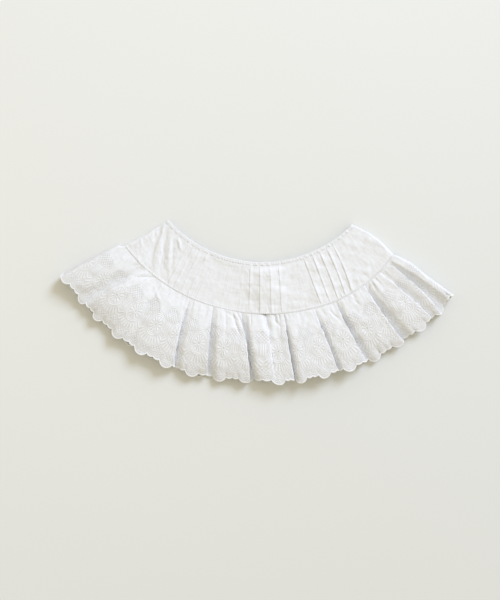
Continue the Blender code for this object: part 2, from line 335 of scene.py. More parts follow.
class Unevenness:
    """Faint waves, which keep cloth from lying perfectly even."""

    count = 26

    def __init__(
        self,
        seed: int,
        lengths: tuple[float, float],
        height: float,
        heading: tuple[float, float] = (0.0, 180.0),
    ) -> None:
        """Draws the waves.

        Args:
            seed: start of the random numbers.
            lengths: shortest and longest wavelength.
            height: typical height of the sum.
            heading: middle of the directions that they cross, and the spread round it.
        """
        draw = np.random.default_rng(seed)
        length = lengths[0] * (lengths[1] / lengths[0]) ** draw.random(self.count)
        way = np.radians(heading[0] + heading[1] * draw.uniform(-1.0, 1.0, self.count))
        self.across = np.cos(way) * 2.0 * math.pi / length
        self.up = np.sin(way) * 2.0 * math.pi / length
        self.start = draw.random(self.count) * 2.0 * math.pi
        self.height = height * math.sqrt(2.0 / self.count)

    def at(self, x: np.ndarray, y: np.ndarray) -> np.ndarray:
        """Sum of the waves' cosines at each place."""
        angle = x[..., None] * self.across + y[..., None] * self.up + self.start
        return self.height * np.cos(angle).sum(axis=-1)


class Field:
    """A socket of a shader graph, with which sums are written as with a number."""

    def __init__(self, graph: "Graph", socket: bpy.types.NodeSocket) -> None:
        """Wraps a socket of the graph."""
        self.graph = graph
        self.socket = socket

    def __add__(self, other: "Field | float") -> "Field":
        """This plus the other."""
        return self.graph.math("ADD", self, other)

    def __radd__(self, other: "Field | float") -> "Field":
        """The other plus this."""
        return self.graph.math("ADD", other, self)

    def __sub__(self, other: "Field | float") -> "Field":
        """This less the other."""
        return self.graph.math("SUBTRACT", self, other)

    def __rsub__(self, other: "Field | float") -> "Field":
        """The other less this."""
        return self.graph.math("SUBTRACT", other, self)

    def __mul__(self, other: "Field | float") -> "Field":
        """This times the other."""
        return self.graph.math("MULTIPLY", self, other)

    def __rmul__(self, other: "Field | float") -> "Field":
        """The other times this."""
        return self.graph.math("MULTIPLY", other, self)

    def __truediv__(self, other: "Field | float") -> "Field":
        """This over the other."""
        return self.graph.math("DIVIDE", self, other)

    def __rtruediv__(self, other: "Field | float") -> "Field":
        """The other over this."""
        return self.graph.math("DIVIDE", other, self)

    def __pow__(self, other: "Field | float") -> "Field":
        """This to the power of the other."""
        return self.graph.math("POWER", self, other)

    def __rpow__(self, other: "Field | float") -> "Field":
        """The other to the power of this."""
        return self.graph.math("POWER", other, self)

    def __abs__(self) -> "Field":
        """Its size, whatever its sign."""
        return self.graph.math("ABSOLUTE", self)

    def sin(self) -> "Field":
        """Sine, of radians."""
        return self.graph.math("SINE", self)

    def cos(self) -> "Field":
        """Cosine, of radians."""
        return self.graph.math("COSINE", self)

    def fraction(self) -> "Field":
        """What is past the whole number below."""
        return self.graph.math("FRACT", self)

    def most(self, other: "Field | float") -> "Field":
        """The larger of the two."""
        return self.graph.math("MAXIMUM", self, other)

    def hypot(self, other: "Field") -> "Field":
        """Length of the hypotenuse over the two."""
        return (self * self + other * other) ** 0.5

    def angle_to(self, other: "Field") -> "Field":
        """Angle, in radians, whose tangent is this over the other."""
        return self.graph.math("ARCTAN2", self, other)

    def step(self, start: float, full: float) -> "Field":
        """Soft rise from 0 at the start to 1 at full.

        Args:
            start: the value up to which it is 0.
            full: the value from which it is 1.

        Returns:
            The share risen.
        """
        sockets = {0: self, 1: start, 2: full, 3: 0.0, 4: 1.0}
        made = self.graph.node("ShaderNodeMapRange", {"interpolation_type": "SMOOTHSTEP"}, sockets)
        return Field(self.graph, made.outputs[0])

    def band(self, first: float, last: float, soft: float) -> "Field":
        """1 between the two ends and 0 outside, over a soft edge of that width."""
        inside = self.step(first - soft, first + soft)
        return inside * (1.0 - self.step(last - soft, last + soft))


class Graph:
    """A material under construction."""

    def __init__(self, name: str) -> None:
        """Starts a material of that name, with its shader."""
        self.material = bpy.data.materials.new(name)
        self.material.use_nodes = True
        self.tree = self.material.node_tree
        self.shader = self.tree.nodes["Principled BSDF"]

    def node(
        self,
        kind: str,
        settings: dict[str, object] | None = None,
        sockets: dict[int | str, object] | None = None,
    ) -> bpy.types.Node:
        """Adds any node.

        Args:
            kind: the node's type.
            settings: its properties.
            sockets: what goes into its inputs, a Field to link or a value to set.

        Returns:
            The node.
        """
        made = self.tree.nodes.new(kind)
        for name, value in (settings or {}).items():
            setattr(made, name, value)
        for key, value in (sockets or {}).items():
            self.feed(made.inputs[key], value)
        return made

    def feed(self, socket: bpy.types.NodeSocket, value: object) -> None:
        """Links a Field to the socket, or sets the socket to a value.

        Args:
            socket: the input.
            value: a Field, or a value of the socket's kind.
        """
        if isinstance(value, Field):
            self.tree.links.new(value.socket, socket)
        else:
            socket.default_value = value

    def math(self, operation: str, *values: "Field | float") -> Field:
        """Adds a Math node and returns its result."""
        made = self.node("ShaderNodeMath", {"operation": operation}, dict(enumerate(values)))
        return Field(self, made.outputs[0])

    def cloth_place(self) -> tuple[Field, Field]:
        """Place on the flat cloth in mm, along it and down it, from its own UV map.

        Returns:
            The place along, and the place down.
        """
        place = self.node("ShaderNodeUVMap", {"uv_map": "cloth"})
        along, down, _ = self.parts(Field(self, place.outputs[0]))
        return along, down

    def parts(self, vector: Field) -> list[Field]:
        """The three parts of a vector."""
        made = self.node("ShaderNodeSeparateXYZ", None, {0: vector})
        return [Field(self, output) for output in made.outputs]

    def joined(self, x: Field | float, y: Field | float, z: Field | float = 0.0) -> Field:
        """A vector of three parts."""
        made = self.node("ShaderNodeCombineXYZ", None, {0: x, 1: y, 2: z})
        return Field(self, made.outputs[0])

    def object_place(self, scale: float) -> Field:
        """Object coordinates times a scale.

        Args:
            scale: what the place is multiplied by.

        Returns:
            The scaled place.
        """
        place = self.node("ShaderNodeTexCoord")
        place_field = Field(self, place.outputs["Object"])
        made = self.node("ShaderNodeVectorMath", {"operation": "SCALE"}, {0: place_field, "Scale": scale})
        return Field(self, made.outputs[0])

    def noise(self, place: Field, scale: float, detail: float = 2.0) -> Field:
        """Smooth noise from 0 to 1 round 0.5.

        Args:
            place: where it is read.
            scale: how many lumps it has to a unit of place.
            detail: how many finer layers it has.

        Returns:
            The noise.
        """
        sockets = {"Vector": place, "Scale": scale, "Detail": detail, "Roughness": 0.5}
        made = self.node("ShaderNodeTexNoise", None, sockets)
        return Field(self, made.outputs[0])

    def mixed(
        self, share: Field, first: "Field | tuple[float, ...]", second: "Field | tuple[float, ...]"
    ) -> Field:
        """Colour between two.

        Args:
            share: 0 for the first colour and 1 for the second.
            first: a colour.
            second: another colour.

        Returns:
            The colour.
        """
        sockets = {0: share}
        for key, colour in ((6, first), (7, second)):
            sockets[key] = colour if isinstance(colour, Field) else (*colour, 1.0)
        made = self.node("ShaderNodeMix", {"data_type": "RGBA"}, sockets)
        return Field(self, made.outputs[2])

    def relief(self, height: Field, strength: float = 1.0) -> None:
        """Feeds a height in mm to the shader's normal through a Bump node.

        Args:
            height: the height, in mm.
            strength: share of the height that shows.
        """
        sockets = {"Strength": strength, "Distance": MM, "Height": height}
        made = self.node("ShaderNodeBump", None, sockets)
        self.feed(self.shader.inputs["Normal"], Field(self, made.outputs[0]))

    def constant(self, **values: object) -> None:
        """Sets sockets of the shader that are the same all over, named with _ for each space."""
        for name, value in values.items():
            self.shader.inputs[name.replace("_", " ")].default_value = value


@dataclass(frozen=True)
class LawnFinish:
    """Fine plain-woven cotton: crossing threads, slubs, small crinkles and a soft, dry surface."""

    name: str = "lawn"
    light: tuple[float, float, float] = (0.858, 0.862, 0.866)
    shade: tuple[float, float, float] = (0.80, 0.804, 0.808)
    thread: float = 0.42
    thread_height: float = 0.012
    slub_height: float = 0.09
    crinkle_height: float = 0.36
    crumple_height: float = 0.62
    roughness: tuple[float, float] = (0.78, 0.92)
    sheen: float = 0.12

    def weave(self, u: Field, v: Field) -> Field:
        """Height of the crossing threads: one sine along the warp plus one along the weft."""
        turn = 2.0 * math.pi / self.thread
        return self.thread_height * ((u * turn).sin() + (v * turn).sin())

    def slubs(self, graph: Graph, u: Field, v: Field) -> Field:
        """Thicker threads, as noise drawn out along the warp and along the weft.

        Args:
            graph: the material under construction.
            u: place along the flat cloth, in mm.
            v: place down it, in mm.

        Returns:
            Thickness, to both sides of 0.
        """
        warp = graph.noise(graph.joined(u * 1.1, v * 0.08), 1.0)
        weft = graph.noise(graph.joined(u * 0.08, v * 1.1, 7.0), 1.0)
        return warp + weft - 1.0

    def crinkles(self, graph: Graph, u: Field, v: Field) -> Field:
        """Small creases left by washing, as noise drawn out down the cloth and along it.

        Args:
            graph: the material under construction.
            u: place along the flat cloth, in mm.
            v: place down it, in mm.

        Returns:
            Height, to both sides of 0.
        """
        down = graph.noise(graph.joined(u * 0.36, v * 0.09, 3.0), 1.0, 3.0)
        along = graph.noise(graph.joined(u * 0.1, v * 0.3, 11.0), 1.0, 3.0)
        return down + 0.8 * along - 0.9

    def material(self) -> bpy.types.Material:
        """Builds the material.

        Returns:
            The material.
        """
        graph = Graph(self.name)
        u, v = graph.cloth_place()
        slubs = self.slubs(graph, u, v)
        crinkles = self.crinkles(graph, u, v)
        crumple = graph.noise(graph.object_place(1.0), 150.0, 3.0)
        # The tone follows the slubs, the thread's own colour, and the crinkles, whose low parts take the
        # shade colour: painted shade.
        tone = (0.5 + 1.5 * slubs + 0.9 * crinkles).step(0.0, 1.0)
        graph.feed(graph.shader.inputs["Base Color"], graph.mixed(tone, self.shade, self.light))
        low, high = self.roughness
        graph.feed(graph.shader.inputs["Roughness"], high - (high - low) * tone)
        height = self.weave(u, v) + self.slub_height * slubs
        height = height + self.crinkle_height * crinkles
        graph.relief(height + self.crumple_height * crumple)
        graph.constant(Sheen_Weight=self.sheen, Sheen_Roughness=0.5, Specular_IOR_Level=0.3)
        return graph.material


@dataclass(frozen=True)
class EmbroideryFinish(LawnFinish):
    """White-on-white machine embroidery on the lawn, in traditional wheels, fans, bars and net, with
    painted shade in its holes, gaps and grooves and over the field below the arches.

    Everything is placed on the flat cloth: x runs along it from the middle of a repeat, aside is
    the distance from the middle between two wheels, and v runs down it from the seam.
    """

    name: str = "embroidered_cotton"
    stitch: tuple[float, float, float] = (0.89, 0.894, 0.90)
    # Painted shade: the colour given to holes, slits, gaps and grooves, where the shade under and inside
    # the cloth shows.
    pierced_shade: tuple[float, float, float] = (0.665, 0.662, 0.65)
    crinkle_height: float = 0.26
    depth: float = 66.0
    wheel_down: float = 35.2
    wheel_half: tuple[float, float] = (8.8, 10.3)
    spokes: int = 12
    beads: int = 40
    petal_turn: float = 10.6
    groove: float = 0.1
    # Share of painted shade over the whole field below the arches.
    field_shade: float = 0.26
    arch: tuple[float, float] = (24.2, 16.0)
    bar_rows: tuple[float, float] = (28.0, 39.0)
    bar_pitch: float = 2.1
    net_pitch: float = 3.3
    raised: float = 0.17
    scallops: Scallops = Scallops()

    def wheel(self, x: Field, down: Field) -> tuple[Field, Field, Field]:
        """A spoked wheel in a laddered ring: cosines round the angle inside bands of radius.

        Args:
            x: place along from the wheel's middle, in mm.
            down: distance below the wheel's middle, in mm.

        Returns:
            The stitched share, the share of slits and eyelet that get painted shade, and the radius as a
            share of the ring's outside.
        """
        across, along = x / self.wheel_half[0], down / self.wheel_half[1]
        rho = across.hypot(along)
        turn = across.angle_to(along)
        wave = (turn * float(self.spokes)).cos()
        spokes = wave.step(-0.5, 0.3) * rho.band(0.2, 0.72, 0.05)
        rims = rho.band(0.8, 0.88, 0.02).most(rho.band(0.94, 1.04, 0.02))
        hub = rho.band(0.13, 0.2, 0.03)
        slits = (0.0 - wave).step(0.6, 1.0) * rho.band(0.3, 0.66, 0.05)
        pierced_shade = (0.7 * slits).most(1.0 - rho.step(0.05, 0.11))
        return spokes.most(rims).most(hub), pierced_shade, rho

    def fan(self, x: Field, down: Field) -> tuple[Field, Field]:
        """Petals that spread from the wheel towards the hem: one lobe each few degrees.

        Args:
            x: place along from the wheel's middle, in mm.
            down: distance below the wheel's middle, in mm.

        Returns:
            The stitched share, and the lines between the petals, which get painted shade.
        """
        reach = x.hypot(down)
        turn = x.angle_to(down)
        lobes = (turn * (360.0 / self.petal_turn)).cos()
        spread = 1.0 - abs(turn).step(0.98, 1.08)
        blunt = 0.5 * (abs(reach - 15.0) / 3.6) ** 6.0
        petal = (lobes - blunt).step(-0.15, 0.45) * reach.band(12.0, 18.2, 0.3) * spread
        # The gaps between the petals, which the material paints with shade.
        between = (0.0 - lobes).step(0.3, 0.9) * reach.band(12.6, 17.8, 0.6) * spread
        return petal, between

    def net(self, u: Field, v: Field) -> tuple[Field, Field]:
        """Dots and holes in turn on the bias: the product of a cosine along and one down.

        Args:
            u: place along the flat cloth, in mm.
            v: place down it, in mm.

        Returns:
            The dots, and the holes.
        """
        pitch = 2.0 * math.pi / self.net_pitch
        product = (u * pitch).cos() * (v * pitch).cos()
        return product.step(0.05, 0.6), (0.0 - product).step(0.35, 0.85)

    def bars(self, aside: Field, v: Field) -> Field:
        """Upright satin bars between the wheels: a cosine across, between two rows."""
        across = (aside * (2.0 * math.pi / self.bar_pitch)).cos().step(-0.5, 0.35)
        return across * v.band(*self.bar_rows, 0.4) * (1.0 - aside.step(3.5, 3.8))

    def hem_lines(self, x: Field, v: Field) -> tuple[Field, Field]:
        """Beaded lines that follow the scallops, and the distance to the cut edge.

        Args:
            x: place along from the middle of a repeat, in mm.
            v: place down it, in mm.

        Returns:
            The stitched share, and the distance to the cut edge in mm.
        """
        cut = self.scallops
        away = abs(x) / cut.repeat
        large = cut.notch * (away / cut.large_share) ** cut.roundness
        small = cut.small_in + cut.small_notch * ((away - cut.small_share) / cut.small_half) ** 2.0
        on_small = away.step(cut.large_share - 0.004, cut.large_share + 0.004)
        depth = large * (1.0 - on_small) + small * on_small
        edge = self.depth - depth - v
        beads = 0.5 + 0.5 * (x * (2.0 * math.pi / 1.5)).cos()
        lines = edge.band(1.9, 2.7, 0.15) * beads
        lines = lines.most(edge.band(3.7, 4.4, 0.15) * (1.0 - 0.8 * beads))
        return lines.most(edge.band(5.3, 5.8, 0.15)), edge

    def material(self) -> bpy.types.Material:
        """Builds the material.

        Returns:
            The material.
        """
        graph = Graph(self.name)
        u, v = graph.cloth_place()
        half = self.scallops.repeat / 2.0
        x = ((u / self.scallops.repeat + 0.5).fraction() - 0.5) * self.scallops.repeat
        aside = half - abs(x)
        wheel, slits, rho = self.wheel(x, v - self.wheel_down)
        fan, between = self.fan(x, v - self.wheel_down)
        lines, edge = self.hem_lines(x, v)
        low, high = self.arch
        arch = low - (low - high) * (1.0 - aside / half).step(0.1, 0.8)
        below_arch = (v - arch).step(-0.2, 0.2)
        reach, turn = x.hypot(v - self.wheel_down), x.angle_to(v - self.wheel_down)
        beside_fan = (reach - 22.0 * abs(turn)).step(-12.6, -13.4).most(reach.step(19.4, 19.9))
        bars = self.bars(aside, v)
        bar_field = v.band(self.bar_rows[0] - 1.2, self.bar_rows[1] + 1.2, 0.2)
        beside_bars = 1.0 - bar_field * (1.0 - aside.step(4.2, 4.5))
        clear = rho.step(1.26, 1.3) * edge.step(7.0, 7.6) * below_arch * beside_fan * beside_bars
        dots, holes = self.net(u, v)
        arch_line = (v - arch).band(-0.9, -0.1, 0.15).most((v - arch).band(-2.5, -1.7, 0.15))
        satin = 1.0 - edge.step(1.1, 1.4)
        stitched = wheel.most(fan).most(dots * clear).most(bars * rho.step(1.06, 1.1)).most(lines)
        stitched = stitched.most(arch_line * rho.step(1.0, 1.04)).most(satin)
        beads = (turn * float(self.beads)).cos().step(-0.4, 0.4)
        ring = rho.band(1.13, 1.22, 0.02) * below_arch * beside_fan * beads
        stitched = stitched.most(ring)
        # Painted shade in the grooves between the hem's lines.
        groove_shade = edge.band(1.3, 1.75, 0.12).most(edge.band(3.0, 3.4, 0.12)).most(edge.band(4.7, 5.0, 0.12))
        pierced_shade = slits.most(holes * clear * 0.85).most(between * 0.45).most(groove_shade * 0.6)
        # Painted shade over the field below the arches.
        pierced_shade = pierced_shade.most(below_arch * self.field_shade)
        slubs = self.slubs(graph, u, v)
        crinkles = self.crinkles(graph, u, v)
        # As on the lawn, slubs give the thread's own tone and the crinkles' low parts are painted shade.
        tone = (0.5 + 1.4 * slubs + 0.7 * crinkles).step(0.0, 1.0)
        ground = graph.mixed(tone, self.shade, self.light)
        thread = graph.mixed(stitched * 0.8, ground, self.stitch)
        # Painted shade: holes, gaps, grooves and the field below the arches take the darker colour.
        with_pierced_shade = graph.mixed(pierced_shade * (1.0 - stitched), thread, self.pierced_shade)
        graph.feed(graph.shader.inputs["Base Color"], with_pierced_shade)
        graph.feed(graph.shader.inputs["Roughness"], self.roughness[1] - 0.3 * stitched)
        crumple = graph.noise(graph.object_place(1.0), 140.0, 3.0)
        height = self.raised * stitched - self.groove * pierced_shade
        height = height + self.weave(u, v) * (1.0 - stitched) + self.slub_height * slubs
        height = height + self.crinkle_height * crinkles * (1.0 - below_arch * 0.6)
        graph.relief(height + self.crumple_height * crumple)
        graph.constant(Sheen_Weight=self.sheen, Sheen_Roughness=0.5, Specular_IOR_Level=0.35)
        return graph.material


@dataclass(frozen=True)
class BindingFinish(LawnFinish):
    """The lawn cut on the bias, so that its threads cross the strip at a slant."""

    name: str = "binding"
    crumple_height: float = 0.5

    def weave(self, u: Field, v: Field) -> Field:
        """Crossing threads turned by 45 degrees."""
        turn = 2.0 * math.pi / self.thread * math.sqrt(0.5)
        return self.thread_height * (((u + v) * turn).sin() + ((u - v) * turn).sin())


@dataclass(frozen=True)
class ThreadFinish:
    """Mercerised sewing or satin-stitch thread, with its twist as slanted ribs."""

    name: str
    colour: tuple[float, float, float] = (0.87, 0.87, 0.866)
    shade: tuple[float, float, float] = (0.80, 0.80, 0.79)
    pitch: float = 0.8
    height: float = 0.09
    roughness: float = 0.5

    def material(self) -> bpy.types.Material:
        """Builds the material: ribs are a sine of the place along less the place round, and their grooves
        are painted darker, as shade.

        Returns:
            The material.
        """
        graph = Graph(self.name)
        u, v = graph.cloth_place()
        ribs = ((u / self.pitch - v) * (2.0 * math.pi)).sin()
        # Painted shade: the colour darkens in the grooves between the ribs.
        tone = (0.6 + 0.4 * ribs).step(0.0, 1.0)
        graph.feed(graph.shader.inputs["Base Color"], graph.mixed(tone, self.shade, self.colour))
        graph.feed(graph.shader.inputs["Roughness"], self.roughness + 0.2 * (1.0 - tone))
        graph.relief(self.height * ribs)
        graph.constant(Sheen_Weight=0.1, Specular_IOR_Level=0.4)
        return graph.material


@dataclass(frozen=True)
class PearlFinish:
    """Shell button: cloudy off-white growth lines under a thin polish."""

    name: str = "shell"
    colour: tuple[float, float, float] = (0.86, 0.85, 0.81)
    shade: tuple[float, float, float] = (0.70, 0.69, 0.64)

    def material(self) -> bpy.types.Material:
        """Builds the material: bands are a sine of the place, bent by noise.

        Returns:
            The material.
        """
        graph = Graph(self.name)
        place = graph.object_place(1.0)
        cloud = graph.noise(place, 260.0, 4.0)
        x, y, _ = graph.parts(place)
        line = x + 0.6 * y
        growth = (line * 5200.0 + cloud * 9.0).sin() * 0.5 + 0.5
        tone = (0.35 * growth + 0.65 * cloud).step(0.1, 0.8)
        graph.feed(graph.shader.inputs["Base Color"], graph.mixed(tone, self.shade, self.colour))
        graph.feed(graph.shader.inputs["Roughness"], 0.22 + 0.16 * growth)
        graph.relief(0.02 * growth)
        graph.constant(Coat_Weight=0.4, Coat_Roughness=0.12, Specular_IOR_Level=0.5)
        return graph.material


@dataclass(frozen=True)
class FloorFinish:
    """Matt pale paper, its colour darker towards one corner: painted shade of the light falling off across
    the floor.
    """

    name: str = "paper"
    colour: tuple[float, float, float] = (0.836, 0.838, 0.799)
    # Colour at the darker corner: painted shade of the light's falloff.
    shade: tuple[float, float, float] = (0.738, 0.744, 0.706)
    reach: float = 0.62

    def material(self) -> bpy.types.Material:
        """Builds the material: the tone is a soft step across the paper's diagonal, a painted falloff of
        the light, with a cloud.

        Returns:
            The material.
        """
        graph = Graph(self.name)
        place = graph.object_place(1.0)
        x, y, _ = graph.parts(place)
        # Painted shade: the colour darkens across the diagonal, away from the light.
        painted_falloff = y - x
        cloud = graph.noise(place, 3.0, 2.0)
        tone = (painted_falloff + 0.08 * cloud).step(-self.reach, self.reach)
        graph.feed(graph.shader.inputs["Base Color"], graph.mixed(tone, self.shade, self.colour))
        graph.feed(graph.shader.inputs["Roughness"], 0.85 + 0.1 * cloud)
        grain = graph.noise(graph.object_place(1.0), 1400.0, 2.0)
        graph.relief(0.02 * grain)
        graph.constant(Specular_IOR_Level=0.1)
        return graph.material


def grid_faces(stations: int, rows: int, closed: bool = False) -> np.ndarray:
    """Quads over a grid of points held station by station.

    Args:
        stations: points along.
        rows: points across.
        closed: whether the last row joins the first, as round a tube.

    Returns:
        Corner numbers, four a face.
    """
    across = np.arange(rows if closed else rows - 1)
    i, j = np.meshgrid(np.arange(stations - 1), across, indexing="ij")
    here, there = i * rows + j, i * rows + (j + 1) % rows
    return np.stack([here, there, there + rows, here + rows], axis=-1).reshape(-1, 4)


def new_piece(
    name: str, points: np.ndarray, faces: np.ndarray, place: np.ndarray, finish: object
) -> bpy.types.Object:
    """Makes a smooth mesh object with its place on the flat cloth as a UV map.

    Args:
        name: the piece's name.
        points: places in mm.
        faces: corner numbers.
        place: along and down the flat cloth in mm, one for each point.
        finish: what its material is built by.

    Returns:
        The object, at the origin.
    """
    mesh = bpy.data.meshes.new(name)
    mesh.from_pydata((points * MM).tolist(), [], faces.tolist())
    layer = mesh.uv_layers.new(name="cloth")
    corners = np.empty(len(mesh.loops), np.int32)
    mesh.loops.foreach_get("vertex_index", corners)
    layer.uv.foreach_set("vector", place[corners].astype(np.float32).ravel())
    mesh.polygons.foreach_set("use_smooth", np.ones(len(mesh.polygons), bool))
    mesh.materials.append(finish.material())
    piece = bpy.data.objects.new(name, mesh)
    bpy.context.scene.collection.objects.link(piece)
    return piece


def thicken(piece: bpy.types.Object, thickness: float) -> None:
    """Gives a sheet of cloth its thickness, half to each side.

    Args:
        piece: the sheet.
        thickness: its thickness, in mm.
    """
    wall = piece.modifiers.new("cloth", "SOLIDIFY")
    wall.thickness = thickness * MM
    wall.offset = 0.0


def unit(vectors: np.ndarray) -> np.ndarray:
    """The vectors at length 1."""
    return vectors / np.linalg.norm(vectors, axis=-1, keepdims=True)


class LaidCloth:
    """A piece of cloth that runs along the whole collar, laid row by row."""

    turn_steps = 9
    bulge = 0.5
    first_column = -50.0
    last_column = 47.0
    still_column = -1.5
    half_front = 48.5

    def __init__(self, plan: Plan, lie: Lie, wall: float, shell: float) -> None:
        """Sets the piece up.

        Args:
            plan: outlines of the collar.
            lie: heights of the collar.
            wall: thickness of the solid.
            shell: thickness of the cloth, whose outside is the solid's.
        """
        self.plan = plan
        self.lie = lie
        self.wall = wall
        self.shell = shell
        self.back_shares = np.linspace(0.0, 1.0, 24)

    def radius(self, angle: np.ndarray, share: float, side: Side) -> np.ndarray:
        """Radius of a row, at a share of the way down the cloth."""
        raise NotImplementedError

    def front_height(self, column: np.ndarray, angle: np.ndarray, share: float) -> np.ndarray:
        """Middle of the solid's wall on the front, with this piece's details."""
        raise NotImplementedError

    def back_height(self, angle: np.ndarray, share: float) -> np.ndarray:
        """Middle of the solid's wall on the back."""
        raise NotImplementedError

    def front_angles(self, share: float, start: float, end: float) -> np.ndarray:
        """Angle of each column of the front."""
        raise NotImplementedError

    def along(self, angle: np.ndarray, side: Side) -> np.ndarray:
        """Place along the flat cloth in mm."""
        return np.radians(angle) * self.plan.neck_radius

    def down(self, radius: np.ndarray, angle: np.ndarray) -> np.ndarray:
        """Place down the flat cloth in mm."""
        return radius - self.plan.neck_radius

    def fold(self, table: Table, side: int, share: float) -> float:
        """Angle at which the flat cloth starts beside a fold, in from its edge by the turn's reach.

        Args:
            table: radius and angle of points along the fold's edge.
            side: -1 for the left fold and 1 for the right.
            share: share of the way down the cloth.

        Returns:
            The angle, in degrees.
        """
        edge = table[-1][1]
        for _ in range(2):
            radius = float(self.radius(np.array([edge]), share, Side.FRONT)[0])
            edge = float(read_row(table, radius))
        beside = np.array([edge - side * 1.5])
        tall = self.front_height(beside, beside, share) - self.back_height(beside, share)
        reach = float(tall[0]) / 2 * self.bulge + self.wall / 2
        return edge - side * math.degrees(reach / radius)

    def turned(
        self, top: np.ndarray, low: np.ndarray, at: float, side: int
    ) -> tuple[np.ndarray, np.ndarray]:
        """The half ellipse of a fold, from the back up to the front.

        Args:
            top: radius, height and place along of the front's end.
            low: the same of the back's end.
            at: angle of both.
            side: -1 for the left fold and 1 for the right.

        Returns:
            Points, and places on the flat cloth.
        """
        bend = np.radians(np.linspace(-90.0, 90.0, self.turn_steps + 2)[1:-1])
        share = (1.0 + np.sin(bend))[:, None] / 2
        radius, height, along = (low + (top - low) * share).T
        reach = (top[1] - low[1]) / 2 * self.bulge
        away = at + side * np.degrees(reach * np.cos(bend) / radius)
        flat = np.stack([along, self.down(radius, away)], axis=-1)
        return self.plan.place(radius, away, height), flat

    def row(self, share: float) -> tuple[np.ndarray, np.ndarray]:
        """One row of the cloth, all the way along the collar.

        Args:
            share: share of the way down the cloth.

        Returns:
            Points of the middle of the wall, and their places on the flat cloth.
        """
        plan = self.plan
        start, end = self.fold(plan.left_fold, -1, share), self.fold(plan.right_fold, 1, share)
        angles = self.front_angles(share, start, end)
        radii = self.front_radius(angles, share)
        gap = math.degrees(plan.opening / 2 / radii[0])
        halves = (
            start + (plan.back_middle - gap - start) * self.back_shares[::-1],
            end + (plan.back_middle + gap - end) * self.back_shares,
        )
        tops = self.front_height(self.columns, angles, share)
        front_along = self.front_along(angles, share)
        stretches = []
        for side, half in zip((-1, 1), halves):
            at, beside = (0, -1) if side < 0 else (-1, 0)
            low_radius = self.radius(half, share, Side.BACK)
            low = self.back_height(half, share)
            passed = self.back_along(half, front_along[at], side, (tops[at] - low[beside]) * 1.6, beside)
            turn = self.turned(
                np.array([radii[at], tops[at], front_along[at]]),
                np.array([low_radius[beside], low[beside], passed[beside]]),
                (start, end)[at],
                side,
            )
            flat = np.stack([passed, self.down(low_radius, half)], axis=-1)
            stretches.append((plan.place(low_radius, half, low), flat))
            stretches.append(turn)
        front_flat = np.stack([front_along, self.front_down(radii, angles)], axis=-1)
        front = (plan.place(radii, angles, tops), front_flat)
        (left, left_turn, right, right_turn) = stretches
        right_turn = (right_turn[0][::-1], right_turn[1][::-1])
        course = (left, left_turn, front, right_turn, right)
        return np.concatenate([p for p, _ in course]), np.concatenate([f for _, f in course])

    def front_radius(self, angles: np.ndarray, share: float) -> np.ndarray:
        """Radius of each column of the front."""
        return self.radius(angles, share, Side.FRONT)

    def front_along(self, angles: np.ndarray, share: float) -> np.ndarray:
        """Place along the flat cloth of each column of the front."""
        return self.along(angles, Side.FRONT)

    def front_down(self, radii: np.ndarray, angles: np.ndarray) -> np.ndarray:
        """Place down the flat cloth of each column of the front."""
        return self.down(radii, angles)

    def back_along(
        self, angle: np.ndarray, front_end: float, side: int, turn: float, beside: int
    ) -> np.ndarray:
        """Place along the flat cloth of one half of the back.

        Args:
            angle: angle of each column.
            front_end: place of the front's end, which the back carries on from.
            side: -1 for the left fold and 1 for the right.
            turn: length of cloth in the fold.
            beside: which column is next to the fold.
        """
        passed = -self.along(angle, Side.BACK)
        return passed - passed[beside] + front_end + side * turn

    def details(self, points: np.ndarray) -> np.ndarray:
        """Distance by which each point of the grid stands proud of the wall's middle."""
        return np.zeros(points.shape[:2])

    def grid(self, shares: np.ndarray) -> tuple[np.ndarray, np.ndarray]:
        """The whole cloth, moved out so that its outside is the solid's.

        Args:
            shares: where the rows lie.

        Returns:
            Points and flat places, station by station.
        """
        rows = [self.row(float(share)) for share in shares]
        middle = np.stack([points for points, _ in rows], axis=1)
        flat = np.stack([places for _, places in rows], axis=1)
        out = unit(np.cross(np.gradient(middle, axis=1), np.gradient(middle, axis=0)))
        proud = (self.wall - self.shell) / 2 + self.details(middle)
        return middle + out * proud[:, :, None], flat

    def front_stations(self) -> slice:
        """Which stations of the grid lie on the front."""
        first = len(self.back_shares) + self.turn_steps
        return slice(first, first + len(self.columns))

    def to_folds(self, stations: np.ndarray, start: float, end: float) -> np.ndarray:
        """Moves the outer columns on to the two folds.

        The shift grows with the fourth power of the share of the way from the still column.

        Args:
            stations: place of each column along the front.
            start: angle at which the front starts.
            end: angle at which the front ends.

        Returns:
            The angle of each, in degrees.
        """
        left = np.clip((self.still_column - stations) / self.half_front, 0.0, 1.0)
        right = np.clip((stations - self.still_column) / self.half_front, 0.0, 1.0)
        moved = stations + (start - self.first_column) * left**4
        return moved + (end - self.last_column) * right**4


